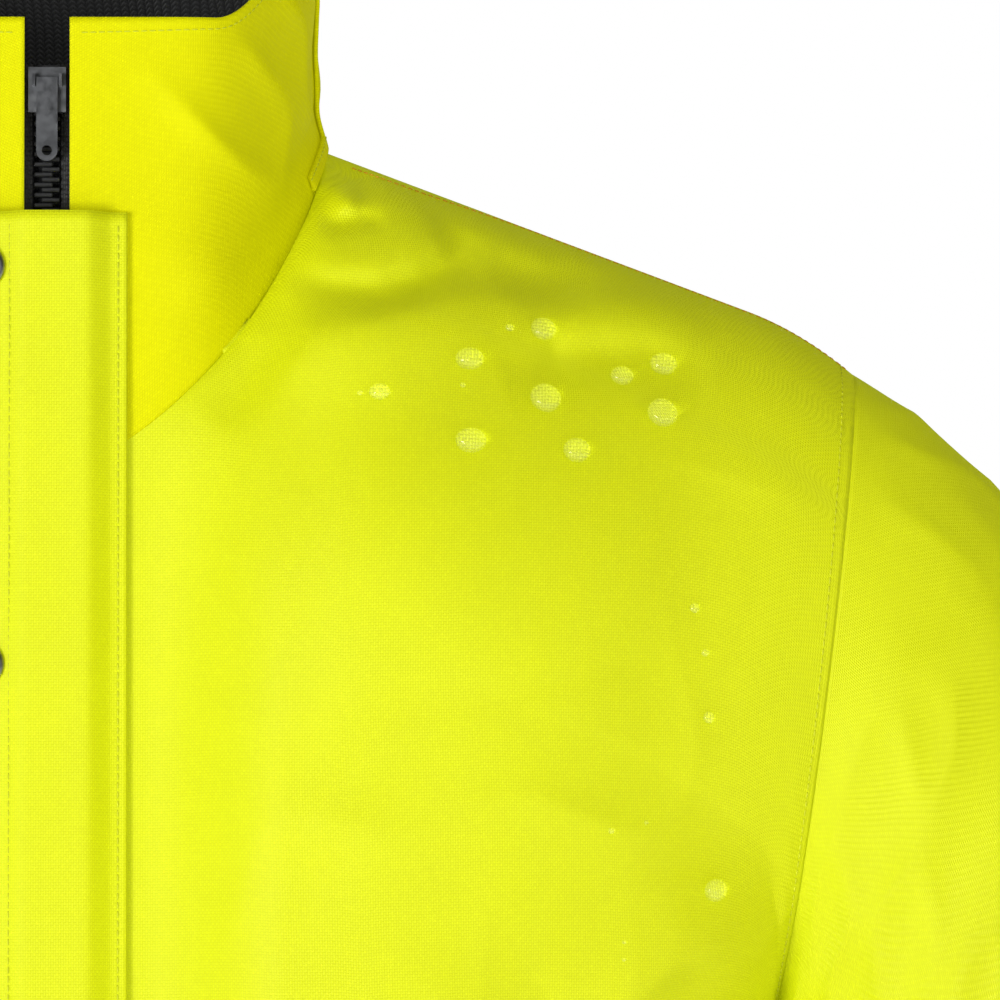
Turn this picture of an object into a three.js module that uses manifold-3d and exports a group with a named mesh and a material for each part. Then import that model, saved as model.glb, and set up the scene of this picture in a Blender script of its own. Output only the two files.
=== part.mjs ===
// Foul weather jacket, size L, filled out as it is on a body: high collar with a stowed hood, covered front zip,
// patch pockets and sleeves that swing at the shoulder and bend at the elbow.
// Millimetres. +X is the wearer's left, -Y the front and +Z up. Design heights count from the neck end of the
// shoulder seam; the last lines move the origin to the underside of the hanger loop at the back of the neck.
import * as THREE from "three";
import { mergeVertices } from "three/addons/utils/BufferGeometryUtils.js";
import Module from "manifold-3d";

const wasm = await Module();
wasm.setup();

// ---- Driving dimensions -------------------------------------------------------------------------------------

const neckHalfWidth = 92; // centre to the neck end of the shoulder seam
const neckFrontDrop = 108;
const neckBackDrop = 14;
const neckBackReach = 70;
const shoulderReach = 272; // centre to the armhole end of the shoulder seam
const shoulderFall = 0.375; // drop of the shoulder seam for each millimetre outwards
const shoulderTurn = 8; // extra drop where the seam rolls over into the sleeve
const shoulderTurnWidth = 35;
const bodyLength = 735; // neck point to hem
const hemHalfWidth = 262;
const hemFrontDepth = 158;
const hemBackDepth = 140;
const chestWidth = 300; // half width of the superellipses that the chest lies on
const chestFrontDepth = 132;
const chestBackDepth = 136;
const rollHeight = 165; // height over which the chest rolls back to the shoulder seam
const underarmX = 242;
const underarmZ = -300;
const armholeDepth = 78;

const frontLineTop = { y: -72, z: 36 }; // upper end of the zip line
const frontLean = 0.115; // how far the front line comes forward for each millimetre down
const flatHalfWidth = 32; // the front is flat this far each side of the zip
const flatBlend = 48;
const panelEdge = 8; // centre line to the edge of each front panel

const collarFrontTop = 43;
const collarBackTop = 85;
const collarTaper = 0.93;
const collarWaist = 0.055;
const collarThickness = 3;
const collarSeam = 0.011; // share of the collar's height that its seam gap takes
const hoodThickness = 23; // the rolled hood inside the back of the collar
const pouchFlapThickness = 2.5;
const pouchFlapFoot = 0.055; // share of the collar's height below the flap

const panelThickness = 4; // shell fabric with its membrane and wadding
const liningThickness = 2.5;
const layerGap = 0.5;
const trimGap = 0.4;

const upperArm = new THREE.Vector3(332, -2, -328); // centres down the left sleeve
const elbow = new THREE.Vector3(354, -6, -476);
const wrist = new THREE.Vector3(388, -46, -694);
const upperArmRadius = 80;
const elbowRadius = 70;
const wristRadius = 54;
const sleeveThickness = 3.5;
const elbowSoftHalf = 66; // sleeve length each side of the elbow that folds as it bends

const zipTopInset = 8; // below the top of the zip line
const zipBottomInset = 6; // above the hem
const zipDepth = 5; // middle of the teeth and tapes, behind the outer face of the front
const toothPitch = 8;
const toothTip = 2; // how far each tooth passes the centre line
const toothSpine = 2;
const toothThickness = 3.6;
const toothClearance = 0.4;
const tapeWidth = 17;
const tapeThickness = 1;
const retainer = { width: 14.5, height: 12, thickness: 6.2 };
const slider = { length: 15, width: 12.4, plate: 1.5, clearance: 0.5, parkInset: 9 };
const puller = { length: 27, width: 7, thickness: 1.4, standOff: 1.6, ear: 1, overhang: 0.9 };

const flapHingeX = 26.5; // sewn edge of the storm flap, on the wearer's left
const flapWidth = 56;
const flapThickness = 2.5;
const flapRise = 7.2; // room under the flap for the slider and its puller
const flapEdgeRise = 3.6; // room under the free edge for the snap studs
const flapTop = -22;
const flapHemInset = 4;
const innerFlap = { halfWidth: 23, depth: 12, thickness: 2, foot: 3 };
const snapCount = 6;
const firstSnap = -40;
const snapSpacing = 130;
const snapInset = 8.5; // free edge of the flap to the snap centres
const snapCapRadius = 7.5;
const snapStudRadius = 4.5;

const pocketColumns = { from: 2, to: 8 }; // the panel columns that a pocket covers
const pocketTop = -520;
const pocketBottom = -704;
const pocketBulge = 12;
const pocketThickness = 3;
const pocketFlap = { top: -500, bottom: -564, thickness: 3, over: 0.012, rootGap: 0.8 };

const bandWidth = 50;
const bandThickness = 0.9;
const bandGap = 0.85; // under the bands on the body, whose cloth isn't quite flat
const bandTops = { upper: -352, lower: -446 };
const armBandInset = 14; // below the start of the upper sleeve
const innerCuff = { from: 0.9, to: 0.985, thickness: 2.5, lift: 9 };
const cuffTab = { from: 0.05, to: 0.3, width: 32, hemInset: 10, thickness: 2.4 };
const hangerLoop = { halfSpan: 28, height: 13, width: 9, thickness: 1.6, bend: 5, foot: -13, clearance: 1.4 };

const colours = {
  shell: 0xd8e52a,
  lining: 0x2c2d2f,
  silver: 0xb9bdc0,
  zip: 0x222325,
  metal: 0x8d9092,
};

// ---- Helpers ------------------------------------------------------------------------------------------------

const { lerp: mix, clamp, smoothstep } = THREE.MathUtils;
const halfPi = Math.PI / 2;
const vec = (x, y, z) => new THREE.Vector3(x, y, z);
const steps = (from, to, count) => Array.from({ length: count + 1 }, (_, i) => mix(from, to, i / count));

function material(colour) {
  const metal = colour === colours.metal;
  return new THREE.MeshStandardMaterial({ color: colour, roughness: metal ? 0.4 : 0.8, metalness: metal ? 1 : 0 });
}

function named(name, geometry, colour) {
  const mesh = new THREE.Mesh(geometry, material(colour));
  mesh.name = name;
  return mesh;
}

// The outward normal of a surface at (u, v), by differences kept inside 0..1 unless the surface is closed in u.
function normalAt(surface, u, v, closed) {
  const step = 1e-3;
  const inside = (t) => clamp(t, 0, 1);
  const [u0, u1] = closed ? [u - step, u + step] : [inside(u - step), inside(u + step)];
  const along = surface(u1, v).sub(surface(u0, v));
  const up = surface(u, inside(v + step)).sub(surface(u, inside(v - step)));
  return along.cross(up).normalize();
}

// A closed solid between two offsets of a surface, over the given u and v values. Offsets are numbers or functions
// of (u, v). A closed one joins its last u to its first; a mirrored one is the same solid on the other side.
function shell({ surface, u, v, inner, outer, closed = false, mirrored = false }) {
  const offset = (o, a, b) => (typeof o === "function" ? o(a, b) : o);
  const rows = v.length;
  const columns = u.length;
  const side = mirrored ? -1 : 1;
  const points = [];
  for (const o of [outer, inner])
    for (const a of u)
      for (const b of v) {
        const p = surface(a, b).addScaledVector(normalAt(surface, a, b, closed), offset(o, a, b));
        points.push(p.x * side, p.y, p.z);
      }
  const at = (layer, i, j) => (layer * columns + (i % columns)) * rows + j;
  const faces = [];
  const quad = (a, b, c, d) => faces.push(...(mirrored ? [a, c, b, a, d, c] : [a, b, c, a, c, d]));
  const lastColumn = closed ? columns : columns - 1;
  for (let i = 0; i < lastColumn; i++) {
    for (let j = 0; j < rows - 1; j++) {
      quad(at(0, i, j), at(0, i + 1, j), at(0, i + 1, j + 1), at(0, i, j + 1));
      quad(at(1, i, j), at(1, i, j + 1), at(1, i + 1, j + 1), at(1, i + 1, j));
    }
    quad(at(1, i, 0), at(1, i + 1, 0), at(0, i + 1, 0), at(0, i, 0));
    quad(at(0, i, rows - 1), at(0, i + 1, rows - 1), at(1, i + 1, rows - 1), at(1, i, rows - 1));
  }
  if (!closed)
    for (let j = 0; j < rows - 1; j++) {
      quad(at(0, 0, j), at(0, 0, j + 1), at(1, 0, j + 1), at(1, 0, j));
      const last = columns - 1;
      quad(at(1, last, j), at(1, last, j + 1), at(0, last, j + 1), at(0, last, j));
    }
  const geometry = new THREE.BufferGeometry();
  geometry.setAttribute("position", new THREE.Float32BufferAttribute(points, 3));
  geometry.setIndex(faces);
  geometry.computeVertexNormals();
  return geometry;
}

// A flat plate: an outline of [x, y] points, or a shape, given a thickness from low to high along z.
function plate(outline, low, high) {
  const drawn = () => new THREE.Shape(outline.map(([x, y]) => new THREE.Vector2(x, y)));
  const shape = outline instanceof THREE.Shape ? outline : drawn();
  const form = { depth: high - low, bevelEnabled: false, curveSegments: 8 };
  return new THREE.ExtrudeGeometry(shape, form).translate(0, 0, low);
}

// A straight run of one section: an outline of [x, z] points, or a shape, carried from low to high along y.
function run(outline, low, high) {
  return plate(outline, 0, high - low).rotateX(halfPi).translate(0, high, 0);
}

// A round piece turned about z from [radius, height] points that start and end on the axis.
function turned(profile, segments = 12) {
  const points = profile.map(([r, h]) => new THREE.Vector2(r, h));
  return new THREE.LatheGeometry(points, segments).rotateX(halfPi);
}

function solid(geometry) {
  const bare = geometry.index ? geometry.toNonIndexed() : geometry.clone();
  bare.deleteAttribute("normal");
  bare.deleteAttribute("uv");
  const merged = mergeVertices(bare, 1e-4);
  return new wasm.Manifold(
    new wasm.Mesh({
      numProp: 3,
      vertProperties: merged.attributes.position.array,
      triVerts: new Uint32Array(merged.index.array),
    }),
  );
}

// Several overlapping closed geometries joined into one.
function joined(...geometries) {
  const mesh = geometries.map(solid).reduce((all, next) => all.add(next)).getMesh();
  const geometry = new THREE.BufferGeometry();
  geometry.setAttribute("position", new THREE.BufferAttribute(mesh.vertProperties, 3));
  geometry.setIndex(new THREE.BufferAttribute(mesh.triVerts, 1));
  geometry.computeVertexNormals();
  return geometry;
}

// ---- Body surfaces ------------------------------------------------------------------------------------------
// Each body surface runs from the front or back centre (u 0) to the side seam and armhole (u 1), and from the hem
// (v 0) to the neckline and shoulder seam (v 1). These are the wearer's left half; the right half mirrors it.

const neckShare = 5 / 14; // share of u that the neckline takes
const underarmShare = 4 / 9; // v at the underarm
const chestShare = 11 / 18; // v at which the chest starts to roll back

const frontLineY = (z) => frontLineTop.y - (frontLineTop.z - z) * frontLean;
function shoulderZ(x) {
  const rolled = Math.max(0, (x - shoulderReach) / shoulderTurnWidth + 1);
  return -shoulderFall * (x - neckHalfWidth) - shoulderTurn * rolled ** 2;
}

function flattenFront(p) {
  const flat = 1 - smoothstep(Math.abs(p.x), flatHalfWidth, flatHalfWidth + flatBlend);
  p.y = mix(p.y, frontLineY(p.z), flat);
  return p;
}

function frontNeckline(t) {
  const start = Math.acos((panelEdge / neckHalfWidth) ** 0.75);
  const turn = start * (1 - t);
  const x = neckHalfWidth * Math.cos(turn) ** (4 / 3);
  const round = Math.sqrt(Math.max(0, 1 - (x / neckHalfWidth) ** 2));
  return vec(x, frontLineY(-neckFrontDrop) * round, -neckFrontDrop * Math.sin(turn) ** (4 / 3));
}

function backNeckline(t) {
  const turn = t * halfPi;
  const reach = neckBackReach * Math.cos(turn) ** 0.9;
  return vec(neckHalfWidth * Math.sin(turn), reach, -neckBackDrop * Math.cos(turn) ** 1.5);
}

function topEdge(u, neckline) {
  if (u < neckShare) return neckline(u / neckShare);
  const x = mix(neckHalfWidth, shoulderReach, (u - neckShare) / (1 - neckShare));
  return vec(x, 0, shoulderZ(x));
}

// The side seam up to the underarm, then the edge of the armhole; side is -1 at the front and 1 at the back.
function sideEdge(v, side) {
  const underarm = vec(underarmX, 0, underarmZ);
  if (v < underarmShare) return vec(hemHalfWidth, 0, -bodyLength).lerp(underarm, v / underarmShare);
  return armholePoint((v - underarmShare) / (1 - underarmShare), side);
}

function armholePoint(t, side) {
  const rise = (1 - Math.cos(t * Math.PI)) / 2;
  return vec(
    mix(underarmX, shoulderReach, smoothstep(t, 0, 1)),
    side * armholeDepth * Math.sin(t * Math.PI) ** 0.9,
    mix(underarmZ, shoulderZ(shoulderReach), rise),
  );
}

function rib(u, v, { side, neckline, startX, hemDepth, chestDepth, rollPower, hemPower }) {
  const turn = u * halfPi;
  const hemX = mix(startX, hemHalfWidth, Math.sin(turn));
  const hem = vec(hemX, side * hemDepth * Math.cos(turn) ** hemPower, -bodyLength);
  const top = topEdge(u, neckline);
  const x = mix(top.x, hem.x, 0.45);
  const chest = vec(x, side * chestDepth * (1 - (x / chestWidth) ** 2.6) ** (1 / 2.6), top.z - rollHeight);
  if (v < chestShare) return hem.lerp(chest, v / chestShare);
  const roll = ((v - chestShare) / (1 - chestShare)) * halfPi;
  const power = 2 / rollPower;
  const rise = Math.sin(roll) ** power;
  const backOff = 1 - Math.cos(roll) ** power;
  return vec(mix(chest.x, top.x, rise), mix(chest.y, top.y, backOff), mix(chest.z, top.z, rise));
}

function bodySurface(form) {
  return (u, v) => {
    const p = rib(u, v, form);
    const pull = sideEdge(v, form.side).sub(rib(1, v, form));
    p.addScaledVector(pull, u ** 3);
    return form.side < 0 ? flattenFront(p) : p;
  };
}

const front = bodySurface({
  side: -1,
  neckline: frontNeckline,
  startX: panelEdge,
  hemDepth: hemFrontDepth,
  chestDepth: chestFrontDepth,
  rollPower: 1.7,
  hemPower: 0.7,
});
const backHalf = bodySurface({
  side: 1,
  neckline: backNeckline,
  startX: 0,
  hemDepth: hemBackDepth,
  chestDepth: chestBackDepth,
  rollPower: 2.1,
  hemPower: 0.7,
});

// The whole back, from the right side seam (u 0) across the centre to the left one (u 1), facing out.
function back(u, v) {
  const across = 1 - 2 * u;
  const p = backHalf(Math.abs(across), v);
  p.x *= Math.sign(across);
  return p;
}

// The v at which a surface reaches a given height, at that u.
function heightShare(surface, u, z) {
  let low = 0;
  let high = 1;
  for (let i = 0; i < 30; i++) {
    const middle = (low + high) / 2;
    if (surface(u, middle).z < z) low = middle;
    else high = middle;
  }
  return low;
}

// ---- Collar and sleeve surfaces -----------------------------------------------------------------------------

// u runs from the left of the zip (0) round the back to the right of it (1), v from the neckline up.
function collar(u, v) {
  const across = 1 - Math.abs(1 - 2 * u); // 0 at the zip, 0.5 at the shoulder seam, 1 at the back
  const base = across < 0.5 ? frontNeckline(across * 2) : backNeckline(2 - across * 2);
  const z = mix(collarFrontTop, collarBackTop, smoothstep(across, 0.23, 0.5));
  const waist = 1 - collarWaist * smoothstep(v, 0, 0.2);
  const p = vec(base.x * mix(waist, collarTaper, v), base.y * mix(1, collarTaper, v), mix(base.z, z, v));
  if (across < 0.5) flattenFront(p);
  if (u > 0.5) p.x *= -1;
  return p;
}

const sleevePath = new THREE.CatmullRomCurve3([upperArm, elbow, wrist]);
const headShare = 0.4; // share of v that the sleeve head takes
const headSeam = 0.004; // share of v that the seam gap at each of its ends takes

function sleeveRing(turn, t) {
  const centre = sleevePath.getPointAt(t);
  const down = sleevePath.getTangentAt(t);
  const out = vec(1, 0, 0).addScaledVector(down, -down.x).normalize();
  const ahead = vec(0, -1, 0).addScaledVector(down, down.y).normalize();
  const middle = elbowShare();
  const aboveElbow = mix(upperArmRadius, elbowRadius, t / middle);
  const belowElbow = mix(elbowRadius, wristRadius, (t - middle) / (1 - middle));
  const radius = t < middle ? aboveElbow : belowElbow;
  return centre.addScaledVector(out, radius * Math.cos(turn)).addScaledVector(ahead, radius * Math.sin(turn));
}

function elbowShare() {
  return upperArm.distanceTo(elbow) / (upperArm.distanceTo(elbow) + elbow.distanceTo(wrist));
}

// u runs round the sleeve from the shoulder point by the front, v from the armhole (0) to the wrist (1).
function sleeve(u, v) {
  const turn = (((u % 1) + 1) % 1) * 2 * Math.PI;
  if (v >= headShare) return sleeveRing(turn, (v - headShare) / (1 - headShare));
  const ahead = turn <= Math.PI;
  const start = armholePoint(ahead ? 1 - turn / Math.PI : turn / Math.PI - 1, ahead ? -1 : 1);
  const end = sleeveRing(turn, 0);
  const down = sleevePath.getTangentAt(0);
  const topness = (1 + Math.cos(turn)) / 2;
  const reach = start.distanceTo(end) / 3;
  const leave = vec(mix(0.3, 0.86, topness), 0, -mix(0.95, 0.51, topness));
  return new THREE.CubicBezierCurve3(
    start,
    start.clone().addScaledVector(leave, reach),
    end.clone().addScaledVector(down, -reach),
    end,
  ).getPoint(v / headShare);
}

// ---- Fabric pieces ------------------------------------------------------------------------------------------

const neckColumns = 5;
const armholeRows = 10;
const halfU = [...steps(0, neckShare, neckColumns), ...steps(neckShare, 1, 7).slice(1)];
const seamU = 0.0008; // shares that the seam gaps take
const seamV = 0.0018;
const frontU = [...halfU.slice(0, -1), 1 - seamU];
const bodyV = [...steps(0, underarmShare, 5), ...steps(underarmShare, 1, armholeRows).slice(1, -1), 1 - seamV];
const backU = [...frontU.map((u) => (1 - u) / 2).reverse(), ...frontU.slice(1).map((u) => (1 + u) / 2)];
const sides = [
  { side: "left", mirrored: false },
  { side: "right", mirrored: true },
];
const sheet = (thickness, outer = 0) => ({ inner: outer - thickness, outer });

function bodyPieces() {
  const skin = sheet(panelThickness);
  const lining = sheet(liningThickness, -panelThickness - layerGap);
  const insideU = frontU.slice(1, -1);
  const insideV = bodyV.slice(1, -1);
  const halves = sides.flatMap(({ side, mirrored }) => [
    named(`front_panel_${side}`, shell({ surface: front, u: frontU, v: bodyV, ...skin, mirrored }), colours.shell),
    named(
      `lining_front_${side}`,
      shell({ surface: front, u: insideU, v: insideV, ...lining, mirrored }),
      colours.lining,
    ),
  ]);
  return [
    ...halves,
    named("back_panel", shell({ surface: back, u: backU, v: bodyV, ...skin }), colours.shell),
    named("lining_back", shell({ surface: back, u: backU.slice(1, -1), v: insideV, ...lining }), colours.lining),
  ];
}

const collarU = steps(0, 1, neckColumns * 4);
const collarV = [collarSeam, 0.14, 0.3, 0.5, 0.72, 0.88, 1];

// How far the lining stands off inside the collar, to leave room for the hood across the back.
function hoodRoom(u, v) {
  const across = 1 - Math.abs(1 - 2 * u);
  return (hoodThickness + layerGap) * smoothstep(across, 0.5, 0.8) * (1 - smoothstep(v, 0.72, 1));
}

const collarLiningOuter = (u, v) => -collarThickness - layerGap - hoodRoom(u, v);
const collarLiningInner = (u, v) => collarLiningOuter(u, v) - liningThickness;

function collarPieces() {
  const hoodOuter = -collarThickness - layerGap;
  const leastHood = 1.2;
  const hoodInner = (u, v) => Math.min(hoodOuter - leastHood, collarLiningOuter(u, v) + layerGap);
  const inside = collarU.slice(2, -2);
  return [
    named(
      "collar_outer",
      shell({ surface: collar, u: collarU, v: collarV, ...sheet(collarThickness) }),
      colours.shell,
    ),
    named(
      "collar_lining",
      shell({ surface: collar, u: inside, v: collarV, inner: collarLiningInner, outer: collarLiningOuter }),
      colours.lining,
    ),
    named(
      "stowed_hood",
      shell({
        surface: collar,
        u: collarU.slice(7, -7),
        v: collarV.slice(1, 5),
        inner: hoodInner,
        outer: hoodOuter,
      }),
      colours.shell,
    ),
    named(
      "hood_pouch_flap",
      shell({
        surface: collar,
        u: collarU.slice(4, -4),
        v: [pouchFlapFoot, ...collarV.slice(1, 5)],
        inner: layerGap,
        outer: layerGap + pouchFlapThickness,
      }),
      colours.shell,
    ),
  ];
}

// A loop of tape sewn at both ends inside the back of the neck, standing up as it does on a hook.
function hangerLoopPiece() {
  const { halfSpan, height, width, thickness, bend, foot } = hangerLoop;
  const inner = bend - thickness;
  const shape = new THREE.Shape()
    .moveTo(-halfSpan, 0)
    .lineTo(-halfSpan, height - bend)
    .absarc(bend - halfSpan, height - bend, bend, Math.PI, halfPi, true)
    .lineTo(halfSpan - bend, height)
    .absarc(halfSpan - bend, height - bend, bend, halfPi, 0, true)
    .lineTo(halfSpan, 0)
    .lineTo(halfSpan - thickness, 0)
    .lineTo(halfSpan - thickness, height - bend)
    .absarc(halfSpan - bend, height - bend, inner, 0, halfPi, false)
    .lineTo(bend - halfSpan, height - thickness)
    .absarc(bend - halfSpan, height - bend, inner, halfPi, Math.PI, false)
    .lineTo(thickness - halfSpan, 0);
  const mesh = named("hanger_loop", run(shape, -width / 2, width / 2), colours.zip);
  mesh.position.set(0, hangerLoopY(), foot);
  return mesh;
}

// The loop's middle, so that its ends just clear the inside of the collar lining.
function hangerLoopY() {
  let low = 0.3;
  let high = 0.5;
  const inside = (u) => collar(u, 0.05).addScaledVector(normalAt(collar, u, 0.05), collarLiningInner(u, 0.05));
  for (let i = 0; i < 30; i++) {
    const middle = (low + high) / 2;
    if (inside(middle).x > hangerLoop.halfSpan) low = middle;
    else high = middle;
  }
  return inside(low).y - hangerLoop.clearance - hangerLoop.width / 2;
}

// ---- Sleeves ------------------------------------------------------------------------------------------------

const sleeveU = steps(0, 1, armholeRows * 2).slice(0, -1);
const sleeveLength = sleevePath.getLength();
const sleeveShare = (length) => (length / sleeveLength) * (1 - headShare);
const elbowAt = headShare + (1 - headShare) * elbowShare();

function sleevePieces({ side, mirrored }) {
  const gap = sleeveShare(layerGap);
  const softTop = elbowAt - sleeveShare(elbowSoftHalf);
  const softEnd = elbowAt + sleeveShare(elbowSoftHalf);
  const bandTop = headShare + sleeveShare(armBandInset);
  const ring = (from, to, rows, layer) =>
    shell({ surface: sleeve, u: sleeveU, v: steps(from, to, rows), ...layer, closed: true, mirrored });
  const cloth = sheet(sleeveThickness);
  const cuffTaper = (v) => innerCuff.lift * smoothstep(v, innerCuff.from, innerCuff.to);
  const cuffDrop = (v) => -sleeveThickness - layerGap - cuffTaper(v);
  const cuffLayer = { inner: (u, v) => cuffDrop(v) - innerCuff.thickness, outer: (u, v) => cuffDrop(v) };
  const tabLow = 1 - sleeveShare(cuffTab.hemInset + cuffTab.width);
  const tabHigh = 1 - sleeveShare(cuffTab.hemInset);
  return {
    torso: [named(`sleeve_head_${side}`, ring(headSeam, headShare - headSeam, 5, cloth), colours.shell)],
    upper: [
      named(`sleeve_upper_${side}`, ring(headShare, softTop - gap, 2, cloth), colours.shell),
      named(
        `arm_band_${side}`,
        ring(bandTop, bandTop + sleeveShare(bandWidth), 2, sheet(bandThickness, trimGap + bandThickness)),
        colours.silver,
      ),
      named(`sleeve_elbow_${side}`, ring(softTop, softEnd - gap, 4, cloth), colours.shell),
    ],
    forearm: [
      named(`sleeve_forearm_${side}`, ring(softEnd, 1, 3, cloth), colours.shell),
      named(`inner_cuff_${side}`, ring(innerCuff.from, innerCuff.to, 2, cuffLayer), colours.lining),
      named(
        `cuff_tab_${side}`,
        shell({
          surface: sleeve,
          u: steps(cuffTab.from, cuffTab.to, 5),
          v: [tabLow, tabHigh],
          ...sheet(cuffTab.thickness, trimGap + cuffTab.thickness),
          mirrored,
        }),
        colours.shell,
      ),
    ],
  };
}

// ---- Pockets and reflective bands ---------------------------------------------------------------------------

// The part of a surface between two heights, with v running from the lower to the upper one.
const between = (surface, bottom, top) => (u, w) => surface(u, heightShare(surface, u, mix(bottom, top, w)));

function pocketPieces({ side, mirrored }) {
  const { from, to } = pocketColumns;
  const columns = frontU.slice(from, to + 1);
  const [first, last] = [columns[0], columns.at(-1)];
  const arch = (u) => {
    const share = clamp((u - first) / (last - first), 0, 1);
    return Math.sqrt(4 * share * (1 - share));
  };
  const room = (u, w) => layerGap + pocketBulge * arch(u) * smoothstep(w, -0.4, 0.9);
  const cover = pocketBulge + pocketThickness + layerGap;
  const { top, bottom, thickness, over, rootGap } = pocketFlap;
  const flapRows = [0, 0.35, (pocketTop + 3 - bottom) / (top - bottom), 1];
  const lift = (u, w) => {
    const overPocket = u > first - over / 2 && u < last + over / 2 ? pocketThickness + layerGap : 0;
    const raised = rootGap + overPocket + pocketBulge * arch(u);
    return w > flapRows[2] ? rootGap : Math.min(raised, rootGap + cover);
  };
  return {
    pocket: named(
      `pocket_${side}`,
      shell({
        surface: between(front, pocketBottom, pocketTop),
        u: columns,
        v: steps(0, 1, 4),
        inner: room,
        outer: (u, w) => room(u, w) + pocketThickness,
        mirrored,
      }),
      colours.shell,
    ),
    flap: named(
      `pocket_flap_${side}`,
      shell({
        surface: between(front, bottom, top),
        u: [first - over, ...columns, last + over],
        v: flapRows,
        inner: lift,
        outer: (u, w) => lift(u, w) + thickness,
        mirrored,
      }),
      colours.shell,
    ),
  };
}

function bandPieces() {
  const layer = sheet(bandThickness, bandGap + bandThickness);
  return Object.entries(bandTops).flatMap(([level, top]) => {
    const ends = { v: [0, 1], ...layer };
    const frontBand = between(front, top - bandWidth, top);
    return [
      ...sides.map(({ side, mirrored }) =>
        named(
          `band_${level}_front_${side}`,
          shell({ surface: frontBand, u: frontU.slice(1), ...ends, mirrored }),
          colours.silver,
        ),
      ),
      named(
        `band_${level}_back`,
        shell({ surface: between(back, top - bandWidth, top), u: backU, ...ends }),
        colours.silver,
      ),
    ];
  });
}

// ---- Zip, storm flap and snaps ------------------------------------------------------------------------------
// These are modelled in the frame of the zip line: x across, y up the line and z out of the front, from its top.

const up = (z) => (z - frontLineTop.z) * Math.hypot(1, frontLean);
const zipTop = -zipTopInset;
const zipFoot = up(-bodyLength) + zipBottomInset;
const teethFoot = zipFoot + retainer.height + toothClearance;
const spineInner = toothTip + toothClearance;
const spineOuter = spineInner + toothSpine;
const box = (x0, x1, y0, y1, z0, z1) =>
  new THREE.BoxGeometry(x1 - x0, y1 - y0, z1 - z0).translate((x0 + x1) / 2, (y0 + y1) / 2, (z0 + z1) / 2);

// One side's teeth: a spine with a tooth every pitch that passes the centre line.
function teethOutline(shift) {
  const half = toothPitch / 4 - toothClearance / 2;
  const outline = [
    [spineOuter, teethFoot],
    [spineOuter, zipTop],
    [spineInner, zipTop],
  ];
  for (let y = zipTop - 2 * half - shift; y > teethFoot + half; y -= toothPitch)
    outline.push([spineInner, y + half], [-toothTip, y + half], [-toothTip, y - half], [spineInner, y - half]);
  outline.push([spineInner, teethFoot]);
  return outline;
}

function zipPieces() {
  const half = toothThickness / 2;
  const tapeInner = spineOuter + toothClearance;
  const tape = () =>
    box(tapeInner, tapeInner + tapeWidth, teethFoot, zipTop, tapeThickness / -2 - zipDepth, tapeThickness / 2 - zipDepth);
  const turnRound = (geometry) => geometry.scale(-1, 1, 1);
  const flipped = (outline) => outline.map(([x, y]) => [-x, y]);
  const { width, height, thickness } = retainer;
  return [
    named("zip_teeth_left", plate(teethOutline(0), -zipDepth - half, -zipDepth + half), colours.zip),
    named(
      "zip_teeth_right",
      plate(flipped(teethOutline(toothPitch / 2)), -zipDepth - half, -zipDepth + half),
      colours.zip,
    ),
    named("zip_tape_left", tape(), colours.zip),
    named("zip_tape_right", tape().rotateY(Math.PI).translate(0, 0, -2 * zipDepth), colours.zip),
    named(
      "zip_retainer",
      box(width / -2, width / 2, zipFoot, zipFoot + height, thickness / -2 - zipDepth, thickness / 2 - zipDepth),
      colours.zip,
    ),
  ];
}

// Heights of the slider's front plate, and of the puller's pin, out of the front.
const sliderInner = -zipDepth + toothThickness / 2 + slider.clearance;
const sliderOuter = sliderInner + slider.plate;
const pinHeight = sliderOuter + puller.standOff;
const sliderMiddle = zipTop - slider.parkInset;
const pinY = sliderMiddle + 3;

// One face of the slider: a plate over the teeth with a flange down each side, stopping short of the tape.
function sliderFace() {
  const edge = slider.width / 2;
  const flange = spineOuter + slider.clearance;
  const foot = -zipDepth + tapeThickness / 2 + toothClearance;
  const section = [
    [-edge, foot],
    [-edge, sliderOuter],
    [edge, sliderOuter],
    [edge, foot],
    [flange, foot],
    [flange, sliderInner],
    [-flange, sliderInner],
    [-flange, foot],
  ];
  return run(section, sliderMiddle - slider.length / 2, sliderMiddle + slider.length / 2);
}

function sliderPieces() {
  const ear = puller.width / 2 + toothClearance;
  const lug = (x) => box(x, x + puller.ear, pinY - 2, pinY + 2, sliderOuter - 0.5, pinHeight + 1.2);
  const face = joined(sliderFace(), lug(ear), lug(-ear - puller.ear));
  const rear = sliderFace().rotateY(Math.PI).translate(0, 0, -2 * zipDepth);
  return [named("zip_slider", face, colours.metal), named("zip_slider_back", rear, colours.metal)];
}

// A flat tab with a rounded foot and a finger hole, hanging from its pin.
function pullerPiece() {
  const edge = puller.width / 2;
  const foot = edge - puller.length;
  const outline = new THREE.Shape()
    .moveTo(edge, puller.overhang)
    .lineTo(-edge, puller.overhang)
    .lineTo(-edge, foot)
    .absarc(0, foot, edge, Math.PI, 2 * Math.PI, false);
  outline.holes.push(new THREE.Path().absarc(0, foot, edge - 1.8, 0, 2 * Math.PI, true));
  const mesh = named("zip_puller", plate(outline, -puller.thickness / 2, puller.thickness / 2), colours.metal);
  mesh.position.set(0, pinY, pinHeight);
  return mesh;
}

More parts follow.
